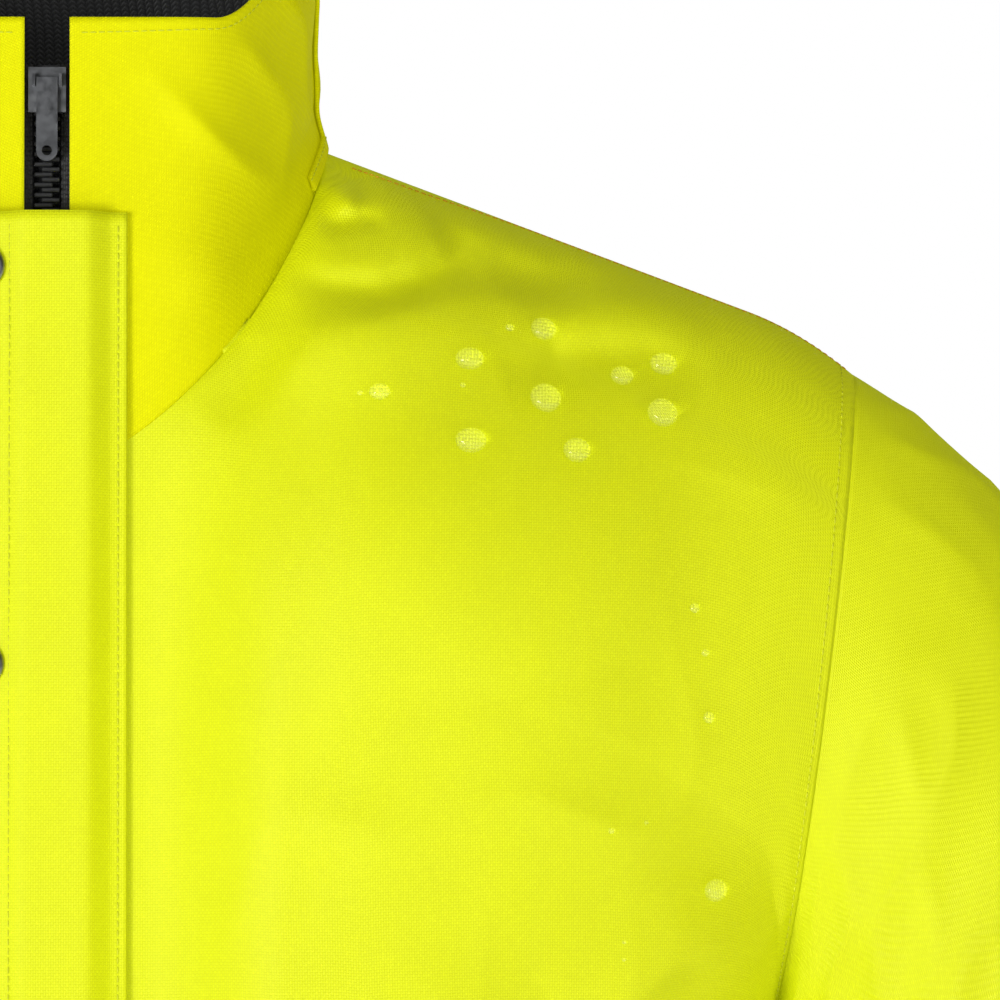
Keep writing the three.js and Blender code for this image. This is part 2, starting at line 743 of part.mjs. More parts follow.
// The storm flap's underside from its sewn edge: flat on the panel, up over the slider and down to the snaps.
const flapFree = flapHingeX - flapWidth;
const snapX = flapFree + snapInset;
const flapFlat = slider.width / 2 + 8;
const flapUnder = [
  [flapHingeX, layerGap],
  [flapHingeX - 5, layerGap],
  [flapFlat, flapRise],
  [-slider.width / 2 - 2, flapRise],
  [snapX + snapCapRadius, flapEdgeRise],
  [flapFree, flapEdgeRise],
];
const raised = (outline, by) => outline.map(([x, h]) => [x, h + by]);
const layerOver = (low, high) => [...raised(flapUnder, low), ...raised(flapUnder, high).reverse()];

function stormFlapPieces() {
  const foot = up(-bodyLength) + flapHemInset;
  const bandLow = flapThickness + trimGap;
  const cap = [[0, 0], [snapCapRadius, 0], [snapCapRadius, 1], [snapCapRadius - 2.5, 2.4], [0, 2.4]];
  const caps = snapHeights().map((y, i) => {
    const mesh = named(`snap_cap_${i + 1}`, turned(cap), colours.metal);
    mesh.position.set(snapX, y, flapEdgeRise + flapThickness + trimGap);
    return mesh;
  });
  const bands = Object.entries(bandTops).map(([level, top]) =>
    named(
      `band_${level}_flap`,
      run(layerOver(bandLow, bandLow + bandThickness), up(top - bandWidth), up(top)),
      colours.silver,
    ),
  );
  const flap = run(layerOver(0, flapThickness), foot, up(flapTop));
  return [named("storm_flap", flap, colours.shell), ...caps, ...bands];
}

const snapHeights = () => Array.from({ length: snapCount }, (_, i) => up(firstSnap - i * snapSpacing));

function snapStuds() {
  const top = flapEdgeRise - trimGap;
  const profile = [[0, trimGap], [snapStudRadius, trimGap], [snapStudRadius, trimGap + 1], [2, top], [0, top]];
  return snapHeights().map((y, i) => {
    const mesh = named(`snap_stud_${i + 1}`, turned(profile), colours.metal);
    mesh.position.set(snapX, y, 0);
    return mesh;
  });
}

// The wind flap behind the zip, with a foot sewn to the left tape.
function innerFlapPiece() {
  const { halfWidth, depth, thickness, foot } = innerFlap;
  const footTop = -zipDepth - tapeThickness / 2 - trimGap;
  const section = [
    [-halfWidth, -depth],
    [halfWidth - foot, -depth],
    [halfWidth - foot, footTop],
    [halfWidth - 2 * foot, footTop],
    [halfWidth - 2 * foot, thickness - depth],
    [-halfWidth, thickness - depth],
  ];
  return named("inner_storm_flap", run(section, zipFoot, zipTop), colours.lining);
}

// ---- Assembly -----------------------------------------------------------------------------------------------

const frontFrame = new THREE.Group();
frontFrame.position.set(0, frontLineTop.y, frontLineTop.z);
frontFrame.rotation.x = Math.atan2(1, frontLean);
frontFrame.add(...zipPieces(), ...sliderPieces(), pullerPiece(), ...stormFlapPieces(), ...snapStuds());
frontFrame.add(innerFlapPiece());

const jacket = new THREE.Group();
jacket.add(...bodyPieces(), ...collarPieces(), hangerLoopPiece(), ...bandPieces(), frontFrame);
for (const side of sides) {
  const sleeves = sleevePieces(side);
  const pockets = pocketPieces(side);
  jacket.add(...sleeves.torso, ...sleeves.upper, ...sleeves.forearm, pockets.pocket, pockets.flap);
}
const loopUnderside = hangerLoop.foot + hangerLoop.height - hangerLoop.thickness;
jacket.position.set(0, -hangerLoopY(), -loopUnderside);

export default jacket;
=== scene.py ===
# %% [markdown]
# # A foul weather jacket
# The jacket is a high-visibility waterproof, filled out as it is on a body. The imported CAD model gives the
# frame: where each piece sits, how big it is and what moves. This lesson dresses that frame in real cloth,
# one piece at a time. Cloth is best made from a flat grid that is laid over the body's shape, because the
# grid also carries the weave, so most pieces below start as one call to `create_grid`.

# %% Load the frame
import math
import bmesh
import bpy
import numpy as np
from mathutils import Matrix, Vector


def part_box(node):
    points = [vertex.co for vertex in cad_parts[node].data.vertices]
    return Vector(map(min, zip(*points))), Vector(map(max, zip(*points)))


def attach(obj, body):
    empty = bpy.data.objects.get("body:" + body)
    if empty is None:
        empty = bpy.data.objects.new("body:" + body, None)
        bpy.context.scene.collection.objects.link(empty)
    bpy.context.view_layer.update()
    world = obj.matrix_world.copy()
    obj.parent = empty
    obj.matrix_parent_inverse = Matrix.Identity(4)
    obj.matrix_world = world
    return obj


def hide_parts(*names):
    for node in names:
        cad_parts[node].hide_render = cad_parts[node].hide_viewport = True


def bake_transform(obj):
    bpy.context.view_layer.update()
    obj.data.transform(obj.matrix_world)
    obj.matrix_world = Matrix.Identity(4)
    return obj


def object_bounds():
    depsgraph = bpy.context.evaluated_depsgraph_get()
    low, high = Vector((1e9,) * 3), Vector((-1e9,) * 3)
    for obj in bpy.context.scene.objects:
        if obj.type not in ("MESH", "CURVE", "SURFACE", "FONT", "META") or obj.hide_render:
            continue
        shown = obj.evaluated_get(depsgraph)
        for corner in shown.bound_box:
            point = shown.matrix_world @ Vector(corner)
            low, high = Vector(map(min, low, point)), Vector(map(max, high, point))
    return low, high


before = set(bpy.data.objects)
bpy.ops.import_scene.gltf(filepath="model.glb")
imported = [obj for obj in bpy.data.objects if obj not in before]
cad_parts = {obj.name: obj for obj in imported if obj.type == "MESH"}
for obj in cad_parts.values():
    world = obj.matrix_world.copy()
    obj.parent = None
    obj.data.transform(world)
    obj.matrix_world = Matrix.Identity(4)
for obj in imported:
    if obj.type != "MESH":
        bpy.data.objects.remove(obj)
cad_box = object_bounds()

# %% [markdown]
# ## The pattern's measures
# Tailors work in millimetres from the neck end of the shoulder seam, so these values do too. One function
# at the end turns a pattern point into a place in the frame, and it takes its offset from two CAD pieces.

# %% Measures
MM = 0.001
NECK_HALF = 92.0
NECK_FRONT_DROP = 108.0
NECK_BACK_DROP = 14.0
NECK_BACK_REACH = 70.0
SHOULDER_REACH = 272.0
SHOULDER_FALL = 0.375
SHOULDER_TURN = 8.0
SHOULDER_TURN_WIDTH = 35.0
BODY_LENGTH = 735.0
HEM_HALF = 262.0
HEM_FRONT_DEPTH = 158.0
HEM_BACK_DEPTH = 140.0
CHEST_HALF = 300.0
CHEST_FRONT_DEPTH = 132.0
CHEST_BACK_DEPTH = 136.0
ROLL_HEIGHT = 165.0
UNDERARM_X = 242.0
UNDERARM_Z = -300.0
ARMHOLE_DEPTH = 78.0
LINE_TOP_Y = -72.0
LINE_TOP_Z = 36.0
LEAN = 0.115
FLAT_HALF = 32.0
FLAT_BLEND = 48.0
PANEL_EDGE = 8.0
COLLAR_FRONT_TOP = 43.0
COLLAR_BACK_TOP = 85.0
COLLAR_TAPER = 0.93
COLLAR_WAIST = 0.055
UPPER_ARM = np.array([332.0, -2.0, -328.0])
ELBOW = np.array([354.0, -6.0, -476.0])
WRIST = np.array([388.0, -46.0, -694.0])
ARM_RADII = (80.0, 70.0, 54.0)
NECK_SHARE = 5 / 14
UNDERARM_SHARE = 4 / 9
CHEST_SHARE = 11 / 18
HEAD_SHARE = 0.4
OFFSET = np.array([0.0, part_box("collar_outer")[1][1] - NECK_BACK_REACH * MM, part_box("hanger_loop")[1][2]])


def placed(points):
    """Pattern millimetres as places in the frame."""
    return points * MM + OFFSET


print("pattern origin sits at", OFFSET)

# %% [markdown]
# ## The body's shape
# Each half of the front and back is one sheet with two shares: u runs from the centre to the side seam and
# armhole, and v from the hem to the neckline and shoulder. Ribs rise from the hem, stand off the chest and
# roll back to the seam on top, which is how cloth lies over a chest. Working on whole arrays of shares
# keeps this quick.

# %% Small helpers
def mix(a, b, t):
    return a + (b - a) * t


def smooth(t, low, high):
    t = np.clip((t - low) / (high - low), 0, 1)
    return t * t * (3 - 2 * t)


def points(x, y, z):
    return np.stack(np.broadcast_arrays(x, y, z), axis=-1).astype(float)


def chosen(test, yes, no):
    return np.where(test[..., None], yes, no)


def power(base, exponent):
    return np.maximum(base, 0) ** exponent


# %% Front and back sheets
def line_y(z):
    return LINE_TOP_Y - (LINE_TOP_Z - z) * LEAN


def shoulder_z(x):
    rolled = np.maximum(0, (x - SHOULDER_REACH) / SHOULDER_TURN_WIDTH + 1)
    return -SHOULDER_FALL * (x - NECK_HALF) - SHOULDER_TURN * rolled**2


def front_neckline(t):
    turn = math.acos((PANEL_EDGE / NECK_HALF) ** 0.75) * (1 - t)
    x = NECK_HALF * power(np.cos(turn), 4 / 3)
    depth = np.sqrt(np.maximum(0, 1 - (x / NECK_HALF) ** 2))
    return points(x, line_y(-NECK_FRONT_DROP) * depth, -NECK_FRONT_DROP * power(np.sin(turn), 4 / 3))


def back_neckline(t):
    turn = t * math.pi / 2
    reach = power(np.cos(turn), 0.9)
    return points(NECK_HALF * np.sin(turn), NECK_BACK_REACH * reach,
                  -NECK_BACK_DROP * power(np.cos(turn), 1.5))


def top_edge(u, neckline):
    x = mix(NECK_HALF, SHOULDER_REACH, np.clip((u - NECK_SHARE) / (1 - NECK_SHARE), 0, 1))
    return chosen(u < NECK_SHARE, neckline(np.clip(u / NECK_SHARE, 0, 1)), points(x, 0, shoulder_z(x)))


def armhole(t, side):
    bow = power(np.sin(t * math.pi), 0.9)
    z = mix(UNDERARM_Z, shoulder_z(SHOULDER_REACH), (1 - np.cos(t * math.pi)) / 2)
    return points(mix(UNDERARM_X, SHOULDER_REACH, smooth(t, 0, 1)), side * ARMHOLE_DEPTH * bow, z)


def side_edge(v, side):
    t = v / UNDERARM_SHARE
    seam = points(mix(HEM_HALF, UNDERARM_X, t), 0, mix(-BODY_LENGTH, UNDERARM_Z, t))
    above = np.clip((v - UNDERARM_SHARE) / (1 - UNDERARM_SHARE), 0, 1)
    return chosen(v < UNDERARM_SHARE, seam, armhole(above, side))


FRONT = dict(side=-1, neckline=front_neckline, start=PANEL_EDGE, hem=HEM_FRONT_DEPTH,
             chest=CHEST_FRONT_DEPTH, roll=1.7)
BACK = dict(side=1, neckline=back_neckline, start=0.0, hem=HEM_BACK_DEPTH, chest=CHEST_BACK_DEPTH, roll=2.1)


def rib(u, v, form):
    turn = u * math.pi / 2
    hem_x = mix(form["start"], HEM_HALF, np.sin(turn))
    hem = points(hem_x, form["side"] * form["hem"] * power(np.cos(turn), 0.7), -BODY_LENGTH)
    top = top_edge(u, form["neckline"])
    x = mix(top[..., 0], hem_x, 0.45)
    depth = form["chest"] * (1 - (x / CHEST_HALF) ** 2.6) ** (1 / 2.6)
    chest = points(x, form["side"] * depth, top[..., 2] - ROLL_HEIGHT)
    below = hem + (chest - hem) * (v / CHEST_SHARE)[..., None]
    roll = np.clip((v - CHEST_SHARE) / (1 - CHEST_SHARE), 0, 1) * math.pi / 2
    rise = power(np.sin(roll), 2 / form["roll"])
    back_off = 1 - power(np.cos(roll), 2 / form["roll"])
    above = chest + (top - chest) * points(rise, back_off, rise)
    return chosen(v < CHEST_SHARE, below, above)


def flattened(p):
    flat = 1 - smooth(np.abs(p[..., 0]), FLAT_HALF, FLAT_HALF + FLAT_BLEND)
    p[..., 1] = mix(p[..., 1], line_y(p[..., 2]), flat)
    return p


def half_sheet(u, v, form):
    pull = side_edge(v, form["side"]) - rib(np.ones_like(u), v, form)
    return rib(u, v, form) + pull * (u**3)[..., None]


def sampled(table, s, t):
    """Values between the cells of an even table over shares s and t from 0 to 1."""
    rows, columns = table.shape[0] - 1, table.shape[1] - 1
    x, y = np.clip(s, 0, 1) * rows, np.clip(t, 0, 1) * columns
    i, j = np.minimum(x.astype(int), rows - 1), np.minimum(y.astype(int), columns - 1)
    a, b = x - i, y - j
    if table.ndim == 3:
        a, b = a[..., None], b[..., None]
    low = mix(table[i, j], table[i + 1, j], a)
    return mix(low, mix(table[i, j + 1], table[i + 1, j + 1], a), b)


def eased_front():
    """The front as a table, eased below the neck point so that the cloth has no crease there."""
    u, v = np.meshgrid(np.linspace(0, 1, 321), np.linspace(0, 1, 421), indexing="ij")
    table = flattened(half_sheet(u, v, FRONT))
    eased = table.copy()
    for _ in range(900):
        eased[1:-1, 1:-1] = (eased[:-2, 1:-1] + 2 * eased[1:-1, 1:-1] + eased[2:, 1:-1]) / 4
    near = np.exp(-(((u - NECK_SHARE) / 0.14) ** 2)) * smooth(1 - v, 0, 0.03)
    return mix(table, eased, near[..., None])


FRONT_TABLE = eased_front()


def front_shape(u, v):
    return sampled(FRONT_TABLE, u, v)


def back_shape(u, v):
    across = 1 - 2 * u
    p = half_sheet(np.abs(across), v, BACK)
    p[..., 0] *= np.sign(across)
    return p


# %% [markdown]
# The collar stands on the neckline, from the left of the zip round the back to the right of it. The sleeve
# runs down a smooth line through the upper arm, elbow and wrist, and its head fans out from the armhole's
# own points, so that the two meet exactly.

# %% Collar and sleeve sheets
def collar_shape(u, v):
    across = 1 - np.abs(1 - 2 * u)
    base = chosen(across < 0.5, front_neckline(np.clip(across * 2, 0, 1)),
                  back_neckline(np.clip(2 - across * 2, 0, 1)))
    top = mix(COLLAR_FRONT_TOP, COLLAR_BACK_TOP, smooth(across, 0.23, 0.5))
    waist = 1 - COLLAR_WAIST * smooth(v, 0, 0.2)
    x = base[..., 0] * mix(waist, COLLAR_TAPER, v)
    y = base[..., 1] * mix(1, COLLAR_TAPER, v)
    p = points(x, y, mix(base[..., 2], top, v))
    p = chosen(across < 0.5, flattened(p.copy()), p)
    p[..., 0] *= np.where(u > 0.5, -1, 1)
    return p


def arm_line(samples=400):
    """Points down the middle of the sleeve, evenly spaced, and the share at the elbow."""
    ends = [2 * UPPER_ARM - ELBOW, UPPER_ARM, ELBOW, WRIST, 2 * WRIST - ELBOW]
    curve = []
    for p0, p1, p2, p3 in (ends[:4], ends[1:]):
        gaps = [np.linalg.norm(b - a) ** 0.5 for a, b in ((p0, p1), (p1, p2), (p2, p3))]
        leave = ((p1 - p0) / gaps[0] - (p2 - p0) / (gaps[0] + gaps[1]) + (p2 - p1) / gaps[1]) * gaps[1]
        arrive = ((p2 - p1) / gaps[1] - (p3 - p1) / (gaps[1] + gaps[2]) + (p3 - p2) / gaps[2]) * gaps[1]
        t = np.linspace(0, 1, samples)[:, None]
        cubic = (2 * p1 - 2 * p2 + leave + arrive) * t**3 + (3 * p2 - 3 * p1 - 2 * leave - arrive) * t**2
        curve.append(cubic + leave * t + p1)
    line = np.concatenate([curve[0], curve[1][1:]])
    run = np.concatenate([[0], np.cumsum(np.linalg.norm(np.diff(line, axis=0), axis=1))])
    even = np.linspace(0, run[-1], samples)
    return np.stack([np.interp(even, run, line[:, k]) for k in range(3)], axis=1), run[-1]


ARM_LINE, ARM_LENGTH = arm_line()
ARM_WAYS = np.gradient(ARM_LINE, axis=0)
ARM_WAYS /= np.linalg.norm(ARM_WAYS, axis=1)[:, None]
ABOVE_ELBOW = np.linalg.norm(ELBOW - UPPER_ARM)
ELBOW_AT = ABOVE_ELBOW / (ABOVE_ELBOW + np.linalg.norm(WRIST - ELBOW))


def along(table, t):
    shares = np.linspace(0, 1, len(table))
    return np.stack([np.interp(t, shares, table[:, k]) for k in range(3)], axis=-1)


def unit(p):
    return p / np.linalg.norm(p, axis=-1)[..., None]


def arm_ring(turn, t):
    centre, down = along(ARM_LINE, t), along(ARM_WAYS, t)
    out = unit(np.array([1.0, 0, 0]) - down * down[..., :1])
    ahead = unit(np.array([0, -1.0, 0]) + down * down[..., 1:2])
    radius = np.interp(t, (0, ELBOW_AT, 1), ARM_RADII)[..., None]
    return centre + out * radius * np.cos(turn)[..., None] + ahead * radius * np.sin(turn)[..., None]


def sleeve_shape(u, v):
    turn = (u % 1.0) * 2 * math.pi
    lower = arm_ring(turn, np.clip((v - HEAD_SHARE) / (1 - HEAD_SHARE), 0, 1))
    ahead = turn <= math.pi
    start = chosen(ahead, armhole(1 - turn / math.pi, -1), armhole(turn / math.pi - 1, 1))
    end = arm_ring(turn, np.zeros_like(turn))
    reach = np.linalg.norm(end - start, axis=-1)[..., None] / 3
    top = (1 + np.cos(turn)) / 2
    leave = points(mix(0.3, 0.86, top), 0, -mix(0.95, 0.51, top))
    a, b = start + leave * reach, end - ARM_WAYS[0] * reach
    t = np.clip(v / HEAD_SHARE, 0, 1)[..., None]
    head = start * (1 - t) ** 3 + 3 * a * t * (1 - t) ** 2 + 3 * b * t**2 * (1 - t) + end * t**3
    return chosen(v < HEAD_SHARE, head, lower)


# %% [markdown]
# ## Folds
# Shell cloth with a membrane is stiff, so it buckles in a few broad folds. Where it is pulled by the
# collar's seam the folds are small and sharp. Each one here is a ridge or a furrow along a short line on
# the chest, given by its height, its width and a softer side.

# %% Folds by the collar
def ridge(p, line, height, width, softer=1.0):
    """How far a ridge along a line of (x, z) points lifts p; below the line it is softer times as wide."""
    x, z = p[..., 0], p[..., 2]
    nearest = np.full(x.shape, 1e9)
    below = np.zeros(x.shape)
    share = np.zeros(x.shape)
    run = len(line) - 1
    for i, ((x0, z0), (x1, z1)) in enumerate(zip(line, line[1:])):
        dx, dz = x1 - x0, z1 - z0
        t = np.clip(((x - x0) * dx + (z - z0) * dz) / (dx * dx + dz * dz), 0, 1)
        ox, oz = x - x0 - t * dx, z - z0 - t * dz
        d = np.hypot(ox, oz)
        closer = d < nearest
        nearest = np.where(closer, d, nearest)
        below = np.where(closer, dx * oz - dz * ox < 0, below)
        share = np.where(closer, (i + t) / run, share)
    spread = np.where(below, width * softer, width)
    ends = np.sin(np.clip(share, 0, 1) * math.pi) ** 0.6
    return height * np.exp(-((nearest / spread) ** 2)) * ends


CHEST_FOLDS = [
    (((88, -9), (95, -14), (100, -17), (104, -17)), 5.0, 4.2, 1.0),
    (((90, -24), (97, -25), (104, -23), (112, -24)), -4.4, 3.4, 1.0),
    (((96, -5), (104, -10), (110, -16)), -3.6, 3.6, 1.0),
    (((102, -3), (112, -9), (119, -15), (125, -23), (129, -31), (130, -39)), 5.4, 3.4, 4.4),
    (((80, -42), (94, -46), (110, -47), (124, -44), (134, -37), (139, -27)), -6.4, 5.0, 1.1),
    (((66, -62), (88, -62), (110, -58), (130, -52), (148, -50), (170, -58)), 7.0, 6.5, 2.8),
    (((136, -16), (146, -24), (156, -31), (168, -33)), 4.4, 5.0, 1.8),
    (((148, -38), (164, -43), (184, -44)), -4.0, 6.0, 1.2),
    (((166, -60), (184, -53), (202, -52), (220, -62)), 6.0, 7.5, 2.2),
    (((150, -74), (172, -69), (196, -68), (222, -76)), -4.2, 7.0, 1.5),
    (((84, -66), (76, -62), (66, -76), (56, -90)), -4.2, 8.0, 1.2),
    (((60, -150), (110, -128), (170, -126), (232, -150)), 2.6, 30.0, 1.4),
    (((150, -180), (160, -230), (150, -290)), 3.0, 34.0, 1.0),
    (((226, -110), (206, -170), (214, -240)), -3.6, 22.0, 1.0),
]
FOLD_LOW, FOLD_HIGH = np.array([30.0, -330.0]), np.array([290.0, 10.0])


def fold_field():
    """All the folds on a millimetre grid of x and z, softened so that no fold ends in a step."""
    x, z = [np.arange(low, high + 1) for low, high in zip(FOLD_LOW, FOLD_HIGH)]
    x, z = np.meshgrid(x, z, indexing="ij")
    field = sum(ridge(points(x, 0, z), line, *form) for line, *form in CHEST_FOLDS)
    for _ in range(2):
        field[1:-1] = (field[:-2] + 2 * field[1:-1] + field[2:]) / 4
        field[:, 1:-1] = (field[:, :-2] + 2 * field[:, 1:-1] + field[:, 2:]) / 4
    return field


FOLD_FIELD = fold_field()


def chest_folds(u, v):
    p = front_shape(u, v)
    s = (p[..., 0] - FOLD_LOW[0]) / (FOLD_HIGH[0] - FOLD_LOW[0])
    t = (p[..., 2] - FOLD_LOW[1]) / (FOLD_HIGH[1] - FOLD_LOW[1])
    inside = smooth(p[..., 0], 36, 60) * smooth(-p[..., 2], -8, 0)
    return sampled(FOLD_FIELD, s, t) * inside * smooth(1 - v, 0, 0.012)


# %% [markdown]
# ## Laying cloth on a shape
# `laid` gives the places of a grid's points over one shape: lifted off it along its normal, plus whatever
# the draped cloth has moved. `cloth` turns them into a mesh with bmesh's grid, adds a UV map in metres that
# follows the threads, and gives it a real thickness with Solidify.

# %% The sheets and how they move
def still(u, v):
    return np.zeros((*u.shape, 3))


SHEETS = {
    "front": dict(shape=front_shape, closed=False, drape=still, straight=True),
    "back": dict(shape=back_shape, closed=False, drape=still, straight=True),
    "collar": dict(shape=collar_shape, closed=False, drape=still, straight=True),
    "sleeve": dict(shape=sleeve_shape, closed=True, drape=still, straight=False),
}


def normals(sheet, u, v):
    step = 1e-3
    low = (lambda t: t - step) if sheet["closed"] else (lambda t: np.clip(t - step, 0, 1))
    high = (lambda t: t + step) if sheet["closed"] else (lambda t: np.clip(t + step, 0, 1))
    shape = sheet["shape"]
    across = shape(high(u), v) - shape(low(u), v)
    up = shape(u, np.clip(v + step, 0, 1)) - shape(u, np.clip(v - step, 0, 1))
    return unit(np.cross(across, up))


def laid(sheet, u, v, lift=0.0):
    lift = np.broadcast_to(lift, u.shape)[..., None]
    return sheet["shape"](u, v) + normals(sheet, u, v) * lift + sheet["drape"](u, v)


def at_height(sheet, u, z):
    """The share v at which each u reaches a height."""
    low, high = np.zeros_like(u), np.ones_like(u)
    for _ in range(26):
        middle = (low + high) / 2
        under = sheet["shape"](u, middle)[..., 2] < z
        low, high = np.where(under, middle, low), np.where(under, high, middle)
    return low


# %% Cloth from a grid
def add_piece(name, bm):
    """Puts a finished bmesh into the scene under a name."""
    mesh = bpy.data.meshes.new(name)
    bm.to_mesh(mesh)
    bm.free()
    piece = bpy.data.objects.new(name, mesh)
    bpy.context.scene.collection.objects.link(piece)
    return piece


def run_lengths(p, axis, parts):
    """Running length over a grid of points along one axis, counting only some of x, y and z."""
    step = np.linalg.norm(np.diff(p[..., parts], axis=axis), axis=-1)
    start = np.zeros_like(np.take(p[..., 0], [0], axis=axis))
    return np.concatenate([start, np.cumsum(step, axis=axis)], axis=axis)


def grid_mesh(name, places, weave, flip, weld):
    """A mesh over a grid of places, with the weave's UV map."""
    columns, rows = places.shape[0] - 1, places.shape[1] - 1
    bm = bmesh.new()
    bmesh.ops.create_grid(bm, x_segments=columns, y_segments=rows, size=0.5)
    uv = bm.loops.layers.uv.new("weave")
    where = {}
    for vert in bm.verts:
        where[vert] = (round((vert.co.x + 0.5) * columns), round((vert.co.y + 0.5) * rows))
    for face in bm.faces:
        face.smooth = True
        for loop in face.loops:
            loop[uv].uv = weave[where[loop.vert]]
    for vert, at in where.items():
        vert.co = places[at]
    if flip:
        bmesh.ops.reverse_faces(bm, faces=bm.faces)
    if weld:
        bmesh.ops.remove_doubles(bm, verts=bm.verts, dist=1e-5)
    return add_piece(name, bm)


def thicken(piece, thickness, offset=-1.0):
    solid = piece.modifiers.new("thickness", "SOLIDIFY")
    solid.thickness = thickness * MM
    solid.offset = offset
    solid.use_quality_normals = True
    return piece


def cloth(name, sheet, u, v, cells, thickness=1.0, lift=0.0, mirror=False, heights=None):
    """Cloth over part of a sheet. v is a pair of shares, or heights a pair of heights."""
    sheet = SHEETS[sheet]
    a, b = np.meshgrid(np.linspace(*u, cells[0] + 1), np.linspace(0, 1, cells[1] + 1), indexing="ij")
    if heights:
        v = [at_height(sheet, a, h) for h in heights]
    elif callable(v):
        v = v(a)
    shares = mix(v[0], v[1], b)
    p = laid(sheet, a, shares, lift(a, b) if callable(lift) else lift)
    if mirror:
        p[..., 0] *= -1
    across = run_lengths(p, 0, [0, 1] if sheet["straight"] else [0, 1, 2])
    up = run_lengths(p, 1, [1, 2] if sheet["straight"] else [0, 1, 2])
    weld = sheet["closed"] and abs(u[1] - u[0] - 1) < 1e-6
    piece = grid_mesh(name, placed(p), np.stack([across, up], axis=-1) * MM, mirror, weld)
    piece["cut"] = [float(across.max() * MM), float(up.max() * MM)]
    return thicken(piece, thickness)


# %% [markdown]
# ## Soft wrinkles everywhere else
# Away from the collar the cloth only carries slow, shallow buckles. A sum of a few seeded waves makes them:
# where the waves cross zero a ridge forms, which looks more like a fold than plain waves do. Stretching the
# pattern down the body makes the ridges run the way that the cloth hangs.

# %% Waves and the three drapes
def ridges(p, seed, size, stretch):
    """Ridge pattern from 0 to 1, about size millimetres apart and stretch times as long in z."""
    rng = np.random.default_rng(seed)
    total = np.zeros(p.shape[:-1])
    for _ in range(9):
        way = rng.normal(size=3) / np.array([1, 1, stretch])
        total += np.sin(p @ (way / size * 2.2) + rng.uniform(0, 2 * math.pi))
    return 1 - np.abs(np.tanh(total / 2.6))


# The pocket flap opens against the cloth round this height, so the folds are kept shallow there.
CALM_Z = -476.0
CALM_REACH = 42.0


def front_drape(u, v):
    p = front_shape(u, v)
    x, z = p[..., 0], p[..., 2]
    shallow = 1 - 0.85 * np.exp(-(((z - CALM_Z) / CALM_REACH) ** 2))
    calm = smooth(x, 40, 95) * smooth(-z, 60, 210) * shallow
    hang = 4.2 * ridges(p, 5, 46, 3.2) * smooth(-z, 200, 420)
    hang += 2.6 * ridges(p, 11, 60, 1.0) * smooth(-z, 90, 260)
    pull = ridge(p, ((238, -292), (205, -330), (160, -372)), 5.5, 12, 1.5)
    pull += ridge(p, ((240, -258), (205, -262), (170, -286)), 4.5, 11, 1.6)
    edge = smooth(1 - u, 0, 0.05) * 0.85 + 0.15
    lift = (hang + pull) * calm * smooth(v, 0, 0.03) * edge
    ahead = np.array([0.0, -1.0, 0.0])
    return normals(SHEETS["front"], u, v) * lift[..., None] + ahead * (chest_folds(u, v) * edge)[..., None]


def back_drape(u, v):
    p = back_shape(u, v)
    x, z = np.abs(p[..., 0]), p[..., 2]
    hang = 4.4 * ridges(p, 21, 52, 3.4) * smooth(-z, 160, 420)
    hang += 2.8 * ridges(p, 23, 64, 1.0) * smooth(-z, 60, 220)
    pull = ridge(points(x, 0, z), ((236, -290), (196, -322), (150, -352)), 6.0, 13, 1.5)
    shade = ridge(points(x, 0, z), ((250, -150), (200, -175), (150, -186)), 3.5, 14, 1.3)
    edge = smooth(1 - np.abs(1 - 2 * u), 0, 0.05) * 0.85 + 0.15
    lift = (hang + pull + shade) * edge * smooth(v, 0, 0.03) * smooth(1 - v, 0, 0.06)
    return normals(SHEETS["back"], u, v) * lift[..., None]


def collar_drape(u, v):
    p = collar_shape(u, v)
    slant = points(p[..., 0] + 0.8 * p[..., 2], p[..., 1], p[..., 2])
    across = 1 - np.abs(1 - 2 * u)
    lift = 3.2 * ridges(slant, 31, 30, 2.2) * smooth(v, 0.02, 0.3) * smooth(1 - v, 0.0, 0.25)
    return normals(SHEETS["collar"], u, v) * (lift * smooth(across, 0.06, 0.2))[..., None]


def sleeve_drape(u, v):
    p = sleeve_shape(u, v)
    turn = (u % 1.0) * 2 * math.pi
    inner = (1 - np.cos(turn)) / 2
    ahead = (1 + np.sin(turn)) / 2
    elbow = HEAD_SHARE + (1 - HEAD_SHARE) * ELBOW_AT
    waves = np.sin((v - elbow) * 118 + 1.3 * np.sin(turn * 2 + 1)) * np.exp(-(((v - elbow) / 0.085) ** 2))
    lift = 4.6 * (waves * 0.5 + 0.5) * np.exp(-(((v - elbow) / 0.12) ** 2)) * ahead
    lift += 4.0 * ridges(p, 41, 44, 2.2) * smooth(v, 0.12, 0.3)
    under = ridges(points(p[..., 0] * 1.5, p[..., 1], p[..., 2] * 0.8), 47, 34, 1.0)
    lift += 5.0 * under * inner * smooth(v, 0.02, 0.1) * smooth(0.42 - v, 0, 0.1)
    head = 1.6 * ridges(points(p[..., 0], p[..., 1] * 2.2, p[..., 2]), 43, 40, 2.0)
    head *= smooth(v, 0.0, 0.05) * smooth(0.2 - v, 0, 0.1)
    lift = (lift + head) * smooth(v, 0.0, 0.03) * (1 - 0.93 * smooth(v, 0.86, 0.93))
    return normals(SHEETS["sleeve"], u, v) * lift[..., None]


for key, drape in zip(SHEETS, (front_drape, back_drape, collar_drape, sleeve_drape)):
    SHEETS[key]["drape"] = drape
print("drapes set for", ", ".join(SHEETS))

# %% [markdown]
# ## Shader helpers
# Node trees get long, so a few small helpers add a node, set its sockets and link it. A group's sockets are
# made with `interface.new_socket`.

# %% Shader helpers
def feed(tree, socket, value):
    if isinstance(value, bpy.types.NodeSocket):
        tree.links.new(value, socket)
    else:
        socket.default_value = value


